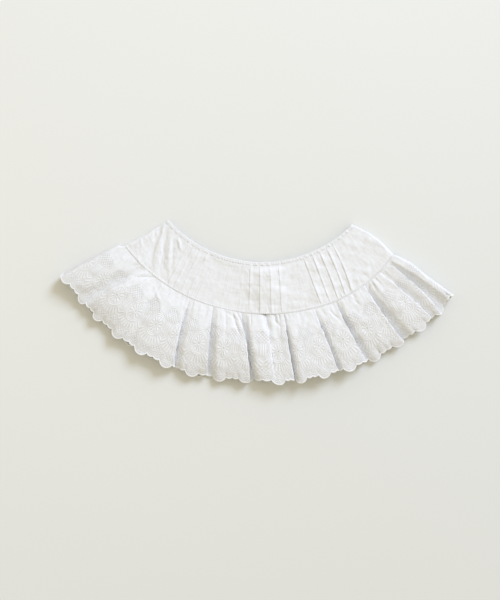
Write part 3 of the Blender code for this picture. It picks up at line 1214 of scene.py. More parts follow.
@dataclass(frozen=True)
class Tucks:
    """Narrow stitched folds down the yoke, three groups of five."""

    ends: Table = (
        (-34.8, -32.4),
        (-32.2, -30.2),
        (-28.9, -27.7),
        (-25.2, -25.2),
        (-21.9, -22.3),
        (-8.6, -7.6),
        (-5.1, -4.2),
        (-1.0, -0.7),
        (3.4, 3.0),
        (7.2, 6.3),
        (18.9, 19.4),
        (22.9, 22.1),
        (26.5, 25.0),
        (30.2, 27.6),
        (33.4, 29.9),
    )
    section: Table = (
        (-0.22, 0.0),
        (-0.12, 0.08),
        (-0.04, 0.8),
        (0.03, 1.0),
        (0.16, 0.96),
        (0.36, 0.78),
        (0.6, 0.5),
        (0.84, 0.22),
        (1.08, 0.05),
        (1.3, 0.0),
    )
    heights: tuple[float, ...] = (0.52, 0.46, 0.7)
    a_group: int = 5

    def middles(self) -> np.ndarray:
        """Angle of each tuck half way down."""
        return np.array([(neck + seam) / 2 for neck, seam in self.ends])

    def raised(self, column: np.ndarray) -> np.ndarray:
        """Height over the yoke across every column.

        Args:
            column: place of each column along the front.

        Returns:
            Heights, in mm.
        """
        total = np.zeros(column.shape)
        steps, shares = zip(*self.section)
        for i, tuck in enumerate(self.middles()):
            height = self.heights[i // self.a_group]
            total += height * np.interp(column - tuck, steps, shares, left=0.0, right=0.0)
        return total


@dataclass(frozen=True)
class YokeSizes:
    """Sizes of the yoke."""

    shell: float = 0.42
    creases: tuple[tuple[float, float, float, float], ...] = (
        (-50.0, -40.5, 1.3, -1.5),
        (-46.5, -34.5, 1.1, -1.3),
        (-43.6, -31.5, 1.0, 1.1),
        (-40.5, -33.0, 1.5, -0.8),
    )
    folds: tuple[Crease, ...] = (
        Crease(((-88.4, 72.5), (-91.6, 60.6), (-95.8, 50.1), (-98.0, 35.3), (-96.9, 29.3)), 1.3, -1.9),
        Crease(((-86.4, 70.5), (-89.6, 60.0), (-93.6, 49.6), (-95.6, 36.0)), 1.0, 0.55),
        Crease(((-74.8, 70.7), (-74.3, 61.5), (-72.5, 52.3), (-72.0, 47.7)), 1.4, 1.6),
        Crease(((-68.8, 66.1), (-68.3, 51.4)), 2.2, -1.2),
        Crease(((-79.9, 73.5), (-79.0, 47.7), (-78.6, 35.8)), 1.0, -1.0),
        Crease(((-104.2, 58.8), (-104.2, 45.9)), 1.6, -0.8),
        Crease(((-110.2, 47.7), (-105.6, 36.7), (-100.8, 30.2)), 1.2, -0.8),
        Crease(((-112.0, 41.5), (-108.0, 34.0)), 1.0, 0.6),
        Crease(((-84.2, 66.0), (-85.6, 52.0), (-86.4, 38.0)), 0.9, -0.45),
        Crease(((-89.0, 21.0), (-83.5, 18.3)), 1.3, -0.7),
        Crease(((-104.0, 33.0), (-97.0, 27.6)), 1.4, -0.8),
        Crease(((7.0, 38.0), (6.0, -3.0)), 15.0, 2.9, 12.0),
        Crease(((-32.0, 42.0), (-30.0, -2.0)), 17.0, -2.6, 12.0),
        Crease(((-42.1, 1.7), (-32.0, -1.1)), 2.4, -0.9),
        Crease(((-30.3, 37.6), (-36.6, 22.9), (-35.7, 8.2)), 3.0, 0.8),
        Crease(((-14.0, 34.0), (-10.6, 29.4), (-8.6, 26.2)), 0.8, -0.6, 3.0),
        Crease(((24.6, 36.2), (20.8, 24.0), (17.6, 9.5)), 2.2, -0.8),
        Crease(((25.6, 37.6), (24.2, 30.6)), 1.2, -0.5, 3.0),
        Crease(((-3.6, 22.9), (1.6, 22.8)), 0.8, -0.45, 2.0),
        Crease(((-3.2, 14.4), (1.4, 14.2)), 0.9, -0.5, 2.0),
        Crease(((-10.0, 13.6), (-6.4, 13.8)), 0.8, -0.4, 2.0),
        Crease(((4.6, 26.6), (7.4, 22.2), (9.8, 22.4)), 0.9, -0.45, 2.0),
        Crease(((95.9, 25.6), (102.3, 20.1)), 0.8, -0.8, 3.0),
        Crease(((102.3, 27.5), (102.6, 20.1)), 0.7, -0.7, 3.0),
        Crease(((109.7, 24.3), (103.2, 20.1)), 0.8, -0.8, 3.0),
    )
    lap_start: float = 0.968
    lap_height: float = 0.22
    lap_over: float = 0.75
    under_binding: float = 1.6
    pucker_count: int = 104
    pucker_seed: int = 11
    spacing: float = 0.27
    rows_at_neck: tuple[float, ...] = (0.0, 0.006, 0.012, 0.03)
    rows_between: tuple[float, float, int] = (0.055, 0.93, 38)
    rows_at_seam: tuple[float, ...] = (0.945, 0.958, 0.968, 0.978, 0.989, 1.0)


class Yoke(LaidCloth):
    """The pin-tucked yoke, curved round the neck."""

    def __init__(self, plan: Plan, lie: Lie, sizes: YokeSizes, tucks: Tucks) -> None:
        """Sets the yoke up and draws its puckers."""
        super().__init__(plan, lie, lie.wall, sizes.shell)
        self.sizes = sizes
        self.tucks = tucks
        self.columns = self.front_columns()
        self.uneven = Unevenness(5, (9.0, 40.0), 0.3)
        self.crumple = Unevenness(15, (3.2, 9.0), 0.07)
        self.streaks = Unevenness(25, (2.6, 7.0), 0.16, (8.0, 22.0))
        self.puckers = self.draw_puckers()

    def front_columns(self) -> np.ndarray:
        """Columns a fixed way apart, with a close set across each tuck.

        Returns:
            Place of each column along the front.
        """
        steps = [step for step, _ in self.tucks.section]
        close = (self.tucks.middles()[:, None] + np.array(steps)).ravel()
        wide = np.arange(self.first_column, self.last_column + 0.001, self.sizes.spacing)
        apart = np.abs(wide[:, None] - close).min(axis=1)
        ends = (wide == wide[0]) | (wide == wide[-1])
        return np.sort(np.concatenate([close, wide[(apart > 0.11) | ends]]))

    def draw_puckers(self) -> np.ndarray:
        """Short creases up from the seam: column, half width, length in mm, height, lean.

        Returns:
            An array with one row for each of those.
        """
        draw = np.random.default_rng(self.sizes.pucker_seed)
        count = self.sizes.pucker_count
        column = np.linspace(-49.5, 46.5, count) + draw.uniform(-0.45, 0.45, count)
        half = draw.uniform(0.2, 0.42, count)
        length = draw.uniform(2.5, 9.5, count)
        height = draw.uniform(0.2, 0.62, count) * draw.choice([-1.0, -1.0, 0.8], count)
        return np.stack([column, half, length, height, draw.uniform(-0.12, 0.12, count)])

    def ring(self, angle: np.ndarray, share: float) -> np.ndarray:
        """Radius between the binding and the seam."""
        inner = self.plan.neck_radius + self.plan.binding_width + self.plan.seam_gap
        return inner + (self.plan.seam_radius(angle) - self.plan.seam_gap - inner) * share

    def radius(self, angle: np.ndarray, share: float, side: Side) -> np.ndarray:
        """Radius of a row, which runs on under the binding and over the ruffle's edge.

        Args:
            angle: angles about the neck's centre, in degrees.
            share: share of the way down the cloth.
            side: which layer of the folded ring.

        Returns:
            Radii, in mm.
        """
        over = self.sizes.lap_over if side is Side.FRONT else 0.0
        tail = over * float(soft_step(np.array(share), 0.9, 1.0))
        under = self.sizes.under_binding * (1.0 - min(1.0, share / 0.012))
        return self.ring(angle, share) + tail - under

    def front_angles(self, share: float, start: float, end: float) -> np.ndarray:
        """Columns lean with the tucks, and follow each fold near it.

        Args:
            share: share of the way down the cloth.
            start: angle at which the front starts.
            end: angle at which the front ends.

        Returns:
            Angle of each column, in degrees.
        """
        ends = self.tucks.ends
        at = [-42.2, *self.tucks.middles(), 36.5]
        lean = [0.0, *((0.5 - share) * (neck - seam) for neck, seam in ends), 0.0]
        return self.to_folds(self.columns + np.interp(self.columns, at, lean), start, end)

    def front_height(self, column: np.ndarray, angle: np.ndarray, share: float) -> np.ndarray:
        """Rises from the neck to the seam, with the long creases deepest half way down.

        Args:
            column: place of each column along the front.
            angle: angles about the neck's centre, in degrees.
            share: share of the way down the cloth.

        Returns:
            Heights, in mm.
        """
        height = self.lie.neck + (self.lie.seam_height(angle) - self.lie.neck) * share
        for at_neck, at_seam, width, depth in self.sizes.creases:
            line = at_neck + (at_seam - at_neck) * share
            fade = 4.0 * share * (1.0 - share)
            height = height + depth * fade * np.exp(-(((angle - line) / width) ** 2))
        return height

    def back_height(self, angle: np.ndarray, share: float) -> np.ndarray:
        """Flat on the surface, but lifted over the button."""
        shares = self.lie.back_lift_shares
        return self.lie.wall / 2 + self.lie.lift(angle, self.plan) * soft_step(np.array(share), *shares)

    def details(self, points: np.ndarray) -> np.ndarray:
        """Tucks, creases, puckers and the lap over the seam.

        Args:
            points: the grid's points, station by station.

        Returns:
            Distances in mm, one for each point.
        """
        front = self.front_stations()
        shares = self.shares[None, :]
        away_neck = soft_step(shares, 0.02, 0.12)
        away_seam = 1.0 - soft_step(shares, 0.88, 0.955)
        x, y = points[front, :, 0], points[front, :, 1]
        tucks = self.tucks.raised(self.columns)[:, None]
        fine = tucks * (0.35 + 0.65 * away_neck) * (1.0 - 0.6 * soft_step(shares, 0.92, 0.97))
        column, half, length, height, lean = self.puckers[:, :, None, None]
        here = self.columns[None, :, None]
        up = (1.0 - shares[None]) * 43.0
        bell = np.exp(-(((here - column - lean * up) / half) ** 2) - (up / length) ** 2)
        fine += (height * bell).sum(axis=0) * (1.0 - soft_step(shares, 0.955, 0.985))
        fine += sum(fold.raised(x, y) for fold in self.sizes.folds) * away_neck
        fine += self.uneven.at(x, y) * away_neck * away_seam
        fine += self.crumple.at(x, y) * (0.3 + 0.7 * away_neck) * away_seam
        left_end = 1.0 - soft_step(self.columns, -40.0, -33.0)[:, None]
        fine += self.streaks.at(x, y) * left_end * away_neck * away_seam
        raised = np.zeros(points.shape[:2])
        raised[front] = fine
        on_front = np.zeros((len(points), 1))
        on_front[front] = 1.0
        start = self.sizes.lap_start
        lap = self.sizes.lap_height * soft_step(shares, start - 0.01, start + 0.01)
        inside = (self.wall - self.shell) / 2 * (1.0 - soft_step(shares, 0.0, 0.012))
        return np.maximum(raised, 0.25 * raised + lap) * on_front - inside

    def build(self) -> tuple[bpy.types.Object, np.ndarray]:
        """Makes the yoke.

        Returns:
            The piece, and its points row by row.
        """
        at_neck, at_seam = self.sizes.rows_at_neck, self.sizes.rows_at_seam
        self.shares = np.concatenate([at_neck, np.linspace(*self.sizes.rows_between), at_seam])
        points, flat = self.grid(self.shares)
        faces = grid_faces(*points.shape[:2])
        piece = new_piece("yoke_cloth", points.reshape(-1, 3), faces, flat.reshape(-1, 2), LawnFinish())
        thicken(piece, self.shell)
        return piece, points


@dataclass(frozen=True)
class BindingSizes:
    """Sizes of the binding: the section is a strip folded round the neck edge, hems turned in."""

    shell: float = 0.2
    section: Table = (
        (0.9, 0.24),
        (1.9, 0.24),
        (2.95, 0.24),
        (3.22, 0.27),
        (3.32, 0.31),
        (3.22, 0.36),
        (2.95, 0.39),
        (1.9, 0.41),
        (0.8, 0.41),
        (0.35, 0.37),
        (0.16, 0.26),
        (0.12, 0.0),
        (0.16, -0.26),
        (0.35, -0.42),
        (0.8, -0.46),
        (1.9, -0.46),
        (2.75, -0.45),
        (3.0, -0.41),
        (3.08, -0.35),
        (3.0, -0.30),
        (2.75, -0.25),
        (1.9, -0.24),
        (0.9, -0.24),
    )
    front_steps: int = 420
    pucker: float = 0.16
    pucker_lengths: tuple[float, float] = (2.0, 7.0)


class NeckBinding(LaidCloth):
    """A bias strip round the neck edge."""

    def __init__(self, plan: Plan, lie: Lie, sizes: BindingSizes) -> None:
        """Sets the binding up."""
        super().__init__(plan, lie, lie.binding_wall, sizes.shell)
        self.sizes = sizes
        self.columns = np.linspace(self.first_column, self.last_column, sizes.front_steps)
        self.back_shares = np.linspace(0.0, 1.0, 70)
        self.puckers = Unevenness(41, sizes.pucker_lengths, sizes.pucker, (0.0, 10.0))

    def radius(self, angle: np.ndarray, share: float, side: Side) -> np.ndarray:
        """Radius of a row, at a share of the width."""
        return np.full_like(angle, self.plan.neck_radius + self.plan.binding_width * share)

    def front_angles(self, share: float, start: float, end: float) -> np.ndarray:
        """Columns between the folds."""
        return self.to_folds(self.columns, start, end)

    def front_height(self, column: np.ndarray, angle: np.ndarray, share: float) -> np.ndarray:
        """Level along the front."""
        return np.full_like(angle, self.lie.neck)

    def back_height(self, angle: np.ndarray, share: float) -> np.ndarray:
        """On the surface, but lifted over the button."""
        return self.lie.binding_wall / 2 + self.lie.lift(angle, self.plan)

    def build(self) -> tuple[bpy.types.Object, np.ndarray]:
        """Makes the strip: each station's section is laid along the wall's down and out ways.

        Returns:
            The piece, and its points station by station.
        """
        edges = [self.row(share) for share in (0.0, 1.0)]
        top, bottom = edges[0][0], edges[1][0]
        across = unit(bottom - top)[:, None, :]
        forward = np.gradient(top, axis=0)
        out = unit(np.cross(bottom - top, forward))[:, None, :]
        reach, rise = (np.array(part)[None, :, None] for part in zip(*self.sizes.section))
        along = edges[0][1][:, 0]
        quilt = self.puckers.at(along[:, None], reach[0].T) * np.clip(reach[0].T / 2.0, 0.2, 1.0)
        swell = rise + np.sign(rise) * quilt[:, :, None]
        points = top[:, None, :] + across * reach + out * swell
        steps = np.hypot(np.diff(reach[0, :, 0]), np.diff(rise[0, :, 0]))
        flat_down = np.concatenate([[0.0], np.cumsum(steps)])
        flat = np.stack(np.broadcast_arrays(along[:, None], flat_down[None, :]), axis=-1)
        faces = grid_faces(*points.shape[:2])
        piece = new_piece(
            "neck_binding_cloth", points.reshape(-1, 3), faces, flat.reshape(-1, 2), BindingFinish()
        )
        thicken(piece, self.shell)
        return piece, points


@dataclass(frozen=True)
class RuffleSizes:
    """Sizes of the ruffle."""

    shell: float = 0.42
    depth: float = 66.0
    waves: Table = (
        (-50.9, -51.9, -53.0, 5.2, 5.0),
        (-48.6, -50.2, -51.4, 5.8, 5.6),
        (-44.8, -48.0, -49.6, 4.6, 4.4),
        (-42.2, -46.3, -48.2, 1.2, 1.4),
        (-41.5, -45.3, -47.3, 0.2, 0.4),
        (-40.8, -44.4, -46.4, 4.6, 4.6),
        (-40.3, -43.8, -45.7, 7.8, 7.6),
        (-38.9, -41.8, -43.0, 8.4, 8.2),
        (-37.6, -39.4, -40.0, 7.4, 7.2),
        (-35.4, -34.9, -34.4, 7.4, 7.2),
        (-34.0, -33.2, -32.6, 4.8, 5.0),
        (-32.8, -32.0, -31.2, 6.4, 6.6),
        (-29.5, -29.0, -28.4, 7.8, 7.6),
        (-24.4, -23.0, -21.0, 7.8, 7.6),
        (-24.0, -22.7, -20.7, -0.6, 0.4),
        (-23.2, -21.9, -20.0, 2.4, 2.8),
        (-21.8, -20.4, -18.7, 7.0, 7.0),
        (-18.8, -17.4, -16.2, 7.8, 7.6),
        (-17.0, -15.6, -14.2, 8.0, 7.8),
        (-16.2, -14.5, -13.0, 8.2, 8.0),
        (-16.1, -14.7, -13.25, 4.4, 4.4),
        (-15.95, -14.7, -13.25, -1.4, -1.6),
        (-15.6, -13.9, -12.4, 0.6, 0.4),
        (-15.1, -12.9, -11.2, 4.4, 4.2),
        (-14.2, -12.0, -10.2, 6.8, 6.6),
        (-11.0, -8.8, -7.4, 7.6, 7.4),
        (-8.0, -5.4, -4.1, 8.0, 7.6),
        (-7.0, -4.2, -2.95, 8.2, 7.8),
        (-6.95, -4.4, -3.2, 4.4, 4.2),
        (-6.8, -4.4, -3.25, -1.8, -1.8),
        (-5.2, -3.5, -1.9, -0.2, 0.0),
        (-4.25, -2.7, -0.8, 6.8, 6.4),
        (-3.4, -1.9, -0.1, 8.4, 8.0),
        (-1.0, 0.4, 1.2, 8.6, 8.2),
        (1.1, 2.2, 2.6, 8.0, 7.8),
        (1.3, 2.5, 3.4, 5.8, 7.2),
        (4.4, 4.8, 5.2, 6.8, 7.2),
        (6.0, 6.4, 6.7, 7.6, 7.4),
        (6.75, 7.1, 7.4, 7.8, 7.6),
        (6.8, 6.95, 7.25, 4.6, 4.4),
        (6.85, 6.95, 7.25, -1.2, -0.6),
        (7.2, 7.6, 7.9, 1.2, 1.4),
        (7.6, 8.3, 8.7, 6.8, 6.6),
        (8.4, 9.2, 9.8, 8.2, 8.0),
        (11.0, 11.2, 11.4, 8.4, 8.0),
        (14.0, 14.6, 14.8, 8.2, 8.0),
        (15.6, 16.5, 17.0, 8.4, 8.1),
        (16.4, 17.4, 17.9, 8.6, 8.3),
        (16.5, 17.25, 17.75, 5.0, 4.8),
        (16.6, 17.3, 17.8, -1.6, -0.4),
        (17.1, 17.8, 18.3, 1.6, 2.4),
        (18.2, 18.9, 19.3, 6.8, 6.6),
        (20.6, 21.0, 21.4, 8.0, 7.7),
        (22.7, 23.3, 23.9, 8.2, 8.0),
        (23.5, 24.1, 24.7, 8.4, 8.2),
        (23.55, 23.95, 24.5, 4.6, 4.4),
        (23.6, 23.95, 24.5, -2.8, -0.8),
        (24.5, 24.8, 25.6, -0.4, 1.4),
        (25.3, 25.9, 27.2, 5.6, 5.2),
        (26.8, 27.3, 28.4, 7.2, 6.8),
        (29.4, 29.7, 30.2, 8.0, 7.8),
        (33.2, 33.0, 33.6, 8.4, 8.0),
        (34.3, 34.0, 34.5, 8.6, 8.2),
        (34.35, 33.85, 34.3, 4.6, 4.4),
        (34.4, 33.85, 34.3, -2.4, -1.0),
        (34.9, 35.1, 35.8, 0.4, 1.2),
        (35.6, 36.6, 37.5, 6.8, 6.6),
        (37.6, 38.4, 39.2, 8.2, 7.8),
        (40.7, 42.2, 42.8, 8.0, 7.8),
        (40.8, 42.4, 43.0, 3.6, 5.0),
        (42.9, 44.1, 44.2, 6.2, 6.4),
        (44.0, 45.0, 44.5, 7.2, 7.0),
        (44.8, 45.6, 45.1, 7.4, 7.2),
        (44.85, 45.45, 44.95, 4.0, 3.8),
        (44.9, 45.45, 44.95, -1.8, -1.0),
        (45.6, 46.9, 47.1, 0.4, 0.8),
        (46.5, 48.3, 49.0, 6.4, 6.2),
    )
    hem_drop: Table = (
        (-56.0, -1.0),
        (-52.0, 0.0),
        (-48.0, 1.8),
        (-44.5, 5.6),
        (-40.0, 6.0),
        (-36.0, 3.4),
        (-32.0, 1.6),
        (-24.0, 1.6),
        (-20.0, 3.2),
        (-16.0, 5.6),
        (-12.0, 5.6),
        (-8.0, 5.0),
        (-4.0, 4.0),
        (0.0, 1.6),
        (4.0, -0.4),
        (8.0, -0.8),
        (14.0, -0.4),
        (20.0, 0.4),
        (24.0, 1.0),
        (28.0, 6.4),
        (32.0, 5.6),
        (36.0, 3.4),
        (40.0, 6.0),
        (44.0, 4.6),
        (50.0, 4.0),
    )
    hem_drop_from: float = 0.4
    over_back: float = 1.05
    softness: float = 0.7
    drift: Table = (
        (-56.0, -0.4),
        (-48.0, -0.3),
        (-42.5, 0.2),
        (-36.0, 0.6),
        (-29.5, 0.2),
        (-17.0, -0.4),
        (-10.0, -0.4),
        (-4.0, 0.1),
        (4.4, 0.2),
        (14.8, 0.4),
        (21.7, 0.9),
        (28.0, 1.6),
        (34.0, 1.2),
        (40.5, 0.8),
        (50.0, 0.4),
    )
    swell_power: float = 2.6
    sink_power: float = 9.0
    hem_sink: float = 0.14
    narrowest: float = 0.24
    closest: float = 0.07
    steep: float = 1.5
    back_wave_angle: float = 9.8
    back_trough: float = -3.7
    back_wave_height: float = 3.0
    gather_height: float = 0.7
    gather_fade: float = 0.16
    gather_count: int = 84
    gather_seed: int = 23
    columns_a_repeat: int = 28
    back_columns: int = 74
    rows: int = 54
    folds: tuple[Crease, ...] = (
        Crease(((-95.5, 22.4), (-104.0, 22.6), (-113.9, 22.4)), 1.0, -1.1),
        Crease(((-95.5, 12.8), (-92.7, 5.4), (-89.0, -2.0)), 1.0, 0.9),
        Crease(((-90.5, 15.2), (-95.8, 6.8)), 0.9, -0.7),
        Crease(((5.9, -9.8), (7.2, -18.5), (10.2, -28.6)), 2.2, -2.6),
        Crease(((14.0, -11.2), (15.6, -17.5), (19.0, -22.3)), 1.2, -1.8),
        Crease(((18.1, -10.2), (19.1, -14.9)), 0.6, -0.8),
        Crease(((-23.7, -11.2), (-21.0, -20.4), (-17.3, -29.6)), 1.2, -1.5),
        Crease(((-20.0, -10.2), (-14.5, -21.3), (-11.8, -28.6)), 0.9, -1.1),
        Crease(((-29.2, -10.2), (-23.7, -13.0), (-17.6, -18.5)), 0.9, -0.9),
        Crease(((58.4, -8.6), (61.3, -12.6)), 0.8, -0.8),
        Crease(((64.3, -7.5), (69.2, -12.6), (73.3, -15.6)), 0.9, -1.0),
        Crease(((86.2, 2.4), (93.1, -3.6)), 0.9, -0.8),
        Crease(((103.2, 19.2), (108.2, 9.3)), 0.8, -1.0),
        Crease(((100.5, 17.4), (100.8, 9.3)), 0.8, -0.9),
    )


class Ruffle(LaidCloth):
    """The gathered, scalloped ruffle, embroidered white on white."""

    def __init__(self, plan: Plan, lie: Lie, sizes: RuffleSizes, cut: Scallops) -> None:
        """Sets the ruffle up, and finds where each of its columns and repeats falls."""
        super().__init__(plan, lie, lie.wall, sizes.shell)
        self.sizes = sizes
        self.cut = cut
        self.back_shares = np.linspace(0.0, 1.0, sizes.back_columns)
        self.gathers = self.draw_gathers()
        self.uneven = Unevenness(3, (7.0, 36.0), 0.26)
        self.crumple = Unevenness(13, (2.8, 7.0), 0.07)
        self.marks = self.spread_marks()
        start = self.fold(plan.left_fold, -1, 1.0)
        end = self.fold(plan.right_fold, 1, 1.0)
        self.ends = (start, end)
        self.columns = self.front_columns()
        self.hem_angles = self.front_angles(1.0, start, end)
        self.phases = plan.phase(self.hem_angles, Side.FRONT)
        self.passed_back = {-1: self.whole_repeats(start, -1), 1: self.whole_repeats(end, 1)}

    def lines(self, share: float) -> np.ndarray:
        """Angles of the waves' lines, by the parabola through their three places down the cloth.

        Args:
            share: share of the way down the cloth.

        Returns:
            Angles, one for each line.
        """
        seam, middle, hem = np.array(self.sizes.waves).T[:3]
        at = seam * (1.0 - share) * (1.0 - 2.0 * share) + hem * share * (2.0 * share - 1.0)
        return at + middle * 4.0 * share * (1.0 - share)

    def heights(self, share: float) -> np.ndarray:
        """Heights of the waves' lines over the seam, which a slot's floor leaves at once.

        They are as at half way down to it, and change from there to the hem.

        Args:
            share: share of the way down the cloth.

        Returns:
            Heights, one for each line.
        """
        middle, hem = np.array(self.sizes.waves).T[3:]
        full = middle + (hem - middle) * max(0.0, 2.0 * share - 1.0)
        sunk = 1.0 - (1.0 - share) ** self.sizes.sink_power
        depth = np.clip((3.0 - full) / 3.0, 0.0, 1.0)
        return full * (self.swell(share) + (sunk - self.swell(share)) * depth)

    def spread_marks(self) -> np.ndarray:
        """A rising number for each of the waves' lines, where lines of a lip turn back over others.

        Returns:
            The numbers, one for each line.
        """
        lines = self.lines(1.0)
        passed = np.concatenate([[0.0], np.cumsum(np.maximum(np.diff(lines), self.sizes.narrowest))])
        return lines[0] + passed * (lines[-1] - lines[0]) / passed[-1]

    def front_columns(self) -> np.ndarray:
        """Columns through the scallops' notches, between them, and on the waves' lines.

        The hem's course is read closely, and a column is put wherever it passes a whole step of
        the scallops' phase.

        Returns:
            Place of each column along the front.
        """
        start, end = self.ends
        close = np.linspace(start, end, 8001)
        self.columns = close
        count = self.sizes.columns_a_repeat
        passed = self.plan.phase(self.front_angles(1.0, start, end), Side.FRONT) * count
        whole = np.floor(passed)
        crossed = np.flatnonzero(whole[1:] != whole[:-1])
        step = np.maximum(whole[1:], whole[:-1])[crossed]
        part = (step - passed[crossed]) / (passed[crossed + 1] - passed[crossed])
        even = close[crossed] + part * (close[1] - close[0])
        steep = np.flatnonzero(np.abs(np.diff(self.heights(1.0))) > self.sizes.steep)
        parts = np.array([-0.3, 0.25, 0.5, 0.75, 1.3])
        walls = self.marks[steep, None] + (self.marks[steep + 1] - self.marks[steep])[:, None] * parts
        kept = np.concatenate([self.marks, walls.ravel()])
        apart = np.abs(even[:, None] - kept).min(axis=1) > self.sizes.closest
        notches = step % (count // 4) == 0
        inner = np.sort(np.concatenate([even[apart | notches], kept]))
        inner = inner[np.concatenate([[True], np.diff(inner) > 0.01])]
        return np.concatenate([[start], inner[(inner > start + 0.05) & (inner < end - 0.05)], [end]])

    def draw_gathers(self) -> np.ndarray:
        """Fine folds below the seam: column, half width, share they reach, height, drift.

        Returns:
            An array with one row for each of those.
        """
        draw = np.random.default_rng(self.sizes.gather_seed)
        count = self.sizes.gather_count
        column = np.linspace(-52.0, 48.0, count) + draw.uniform(-0.5, 0.5, count)
        half = draw.uniform(0.2, 0.6, count)
        reach = draw.uniform(0.05, 0.17, count) * draw.choice([1.0, 1.0, 1.0, 2.2], count)
        height = draw.uniform(0.2, 1.1, count) * draw.choice([-1.0, 0.7], count)
        drift = draw.uniform(-2.0, 2.0, count)
        return np.stack([column, half, reach, height, drift])

    def reach_in(self, share: float) -> float:
        """How much of a scallop's depth a row has taken up, from none up to all at the hem."""
        return float(soft_step(np.array(share), 0.7, 1.0) * 0.35 + 0.65 * max(0.0, (share - 0.86) / 0.14))

    def edges(
        self, angles: np.ndarray, tips: np.ndarray, side: Side = Side.FRONT
    ) -> tuple[np.ndarray, np.ndarray]:
        """Radius of the ruffle's seam edge at the angles, and of its hem where the tips are."""
        return self.plan.seam_radius(angles) + self.plan.seam_gap, self.plan.hem_radius(tips, side)

    def radius(self, angle: np.ndarray, share: float, side: Side) -> np.ndarray:
        """Radius of a row between the seam and the hem, less its part of the scallops.

        Args:
            angle: angles about the neck's centre, in degrees.
            share: share of the way down the cloth.
            side: which layer of the folded ring.

        Returns:
            Radii, in mm.
        """
        inner, hem = self.edges(angle, angle, side)
        in_from_tip = 0.0
        if side is Side.BACK:
            in_from_tip = self.cut.depth(self.plan.phase(angle, side)) * self.reach_in(share)
        return inner + (hem - inner) * share - in_from_tip

    def front_radius(self, angles: np.ndarray, share: float) -> np.ndarray:
        """The same on the front, where a column keeps its scallop whatever its angle."""
        inner, hem = self.edges(angles, self.hem_angles)
        return inner + (hem - inner) * share - self.cut.depth(self.phases) * self.reach_in(share)

    def down(self, radius: np.ndarray, angle: np.ndarray) -> np.ndarray:
        """Place down the flat cloth, from the seam."""
        inner, hem = self.edges(angle, angle)
        return (radius - inner) / (hem - inner) * self.sizes.depth

    def front_down(self, radii: np.ndarray, angles: np.ndarray) -> np.ndarray:
        """The same on the front."""
        inner, hem = self.edges(angles, self.hem_angles)
        return (radii - inner) / (hem - inner) * self.sizes.depth

    def along(self, angle: np.ndarray, side: Side) -> np.ndarray:
        """Place along the flat cloth: one repeat's length for each repeat passed."""
        return self.plan.phase(angle, side) * self.cut.repeat

    def front_along(self, angles: np.ndarray, share: float) -> np.ndarray:
        """The same on the front, whose threads drift aside on their way up from the hem."""
        drift = read_row(self.sizes.drift, angles) * 2.0 * (1.0 - share)
        return self.along(angles - drift, Side.FRONT)

    def whole_repeats(self, at: float, side: int) -> float:
        """Length to add along one half of the back, in whole repeats, so that it meets the front.

        Args:
            at: angle of the front's end.
            side: -1 for the left fold and 1 for the right.

        Returns:
            The length, in mm.
        """
        place = np.array([at])
        tall = self.front_height(place, place, 1.0) - self.back_height(place, 1.0)
        wanted = self.along(place, Side.FRONT) + side * tall * 1.9 + self.along(place, Side.BACK)
        return float(np.round(wanted / self.cut.repeat)[0]) * self.cut.repeat

    def back_along(
        self, angle: np.ndarray, front_end: float, side: int, turn: float, beside: int
    ) -> np.ndarray:
        """Place along the back, a whole number of repeats on, so that its scallops get their wheels."""
        return self.passed_back[side] - self.along(angle, Side.BACK)

    def front_angles(self, share: float, start: float, end: float) -> np.ndarray:
        """Columns follow the waves' lines up from the hem, in a smooth course along each row.

        Args:
            share: share of the way down the cloth.
            start: angle at which the front starts.
            end: angle at which the front ends.

        Returns:
            Angle of each column, in degrees.
        """
        at = np.array([self.ends[0], *self.marks, self.ends[1]])
        lines = np.array([start, *self.lines(share), end])
        return read_curve(at, lines, self.columns, False)

    def swell(self, share: float) -> float:
        """How far the ruffle has puffed up, from nothing at the seam."""
        return 1.0 - (1.0 - share) ** self.sizes.swell_power

    def front_height(self, column: np.ndarray, angle: np.ndarray, share: float) -> np.ndarray:
        """Waves that climb to a crest near their right end and drop from it into a slot.

        The hem comes down to the surface in some places, by a drop that grows with the square of
        the share past its start. The cloth stays over the back's: it takes the larger of the two
        heights, as half their sum and half the length over their difference and the softness.

        Args:
            column: place of each column along the front.
            angle: angles about the neck's centre, in degrees.
            share: share of the way down the cloth.

        Returns:
            Heights, in mm.
        """
        wave = read_curve(self.marks, self.heights(share), column)
        wave = wave * (1.0 - self.sizes.hem_sink * share * share)
        past = max(0.0, (share - self.sizes.hem_drop_from) / (1.0 - self.sizes.hem_drop_from))
        drop = read_row(self.sizes.hem_drop, angle) * past * past
        height = self.lie.seam_height(angle) + wave - drop
        least = self.back_height(angle, share) + self.sizes.over_back
        return (height + least + np.hypot(height - least, self.sizes.softness)) / 2

    def back_height(self, angle: np.ndarray, share: float) -> np.ndarray:
        """Lower waves, with every trough on the surface below.

        Args:
            angle: angles about the neck's centre, in degrees.
            share: share of the way down the cloth.

        Returns:
            Heights, in mm.
        """
        sizes = self.sizes
        turn = 2.0 * math.pi * (angle - sizes.back_trough) / sizes.back_wave_angle
        wave = 0.5 - 0.5 * np.cos(turn)
        fine = 1.0 + np.sin(math.pi * angle / 2.3)
        gathers = sizes.gather_height * math.exp(-share / sizes.gather_fade) * fine
        return self.lie.wall / 2 + self.swell(share) * sizes.back_wave_height * wave + gathers

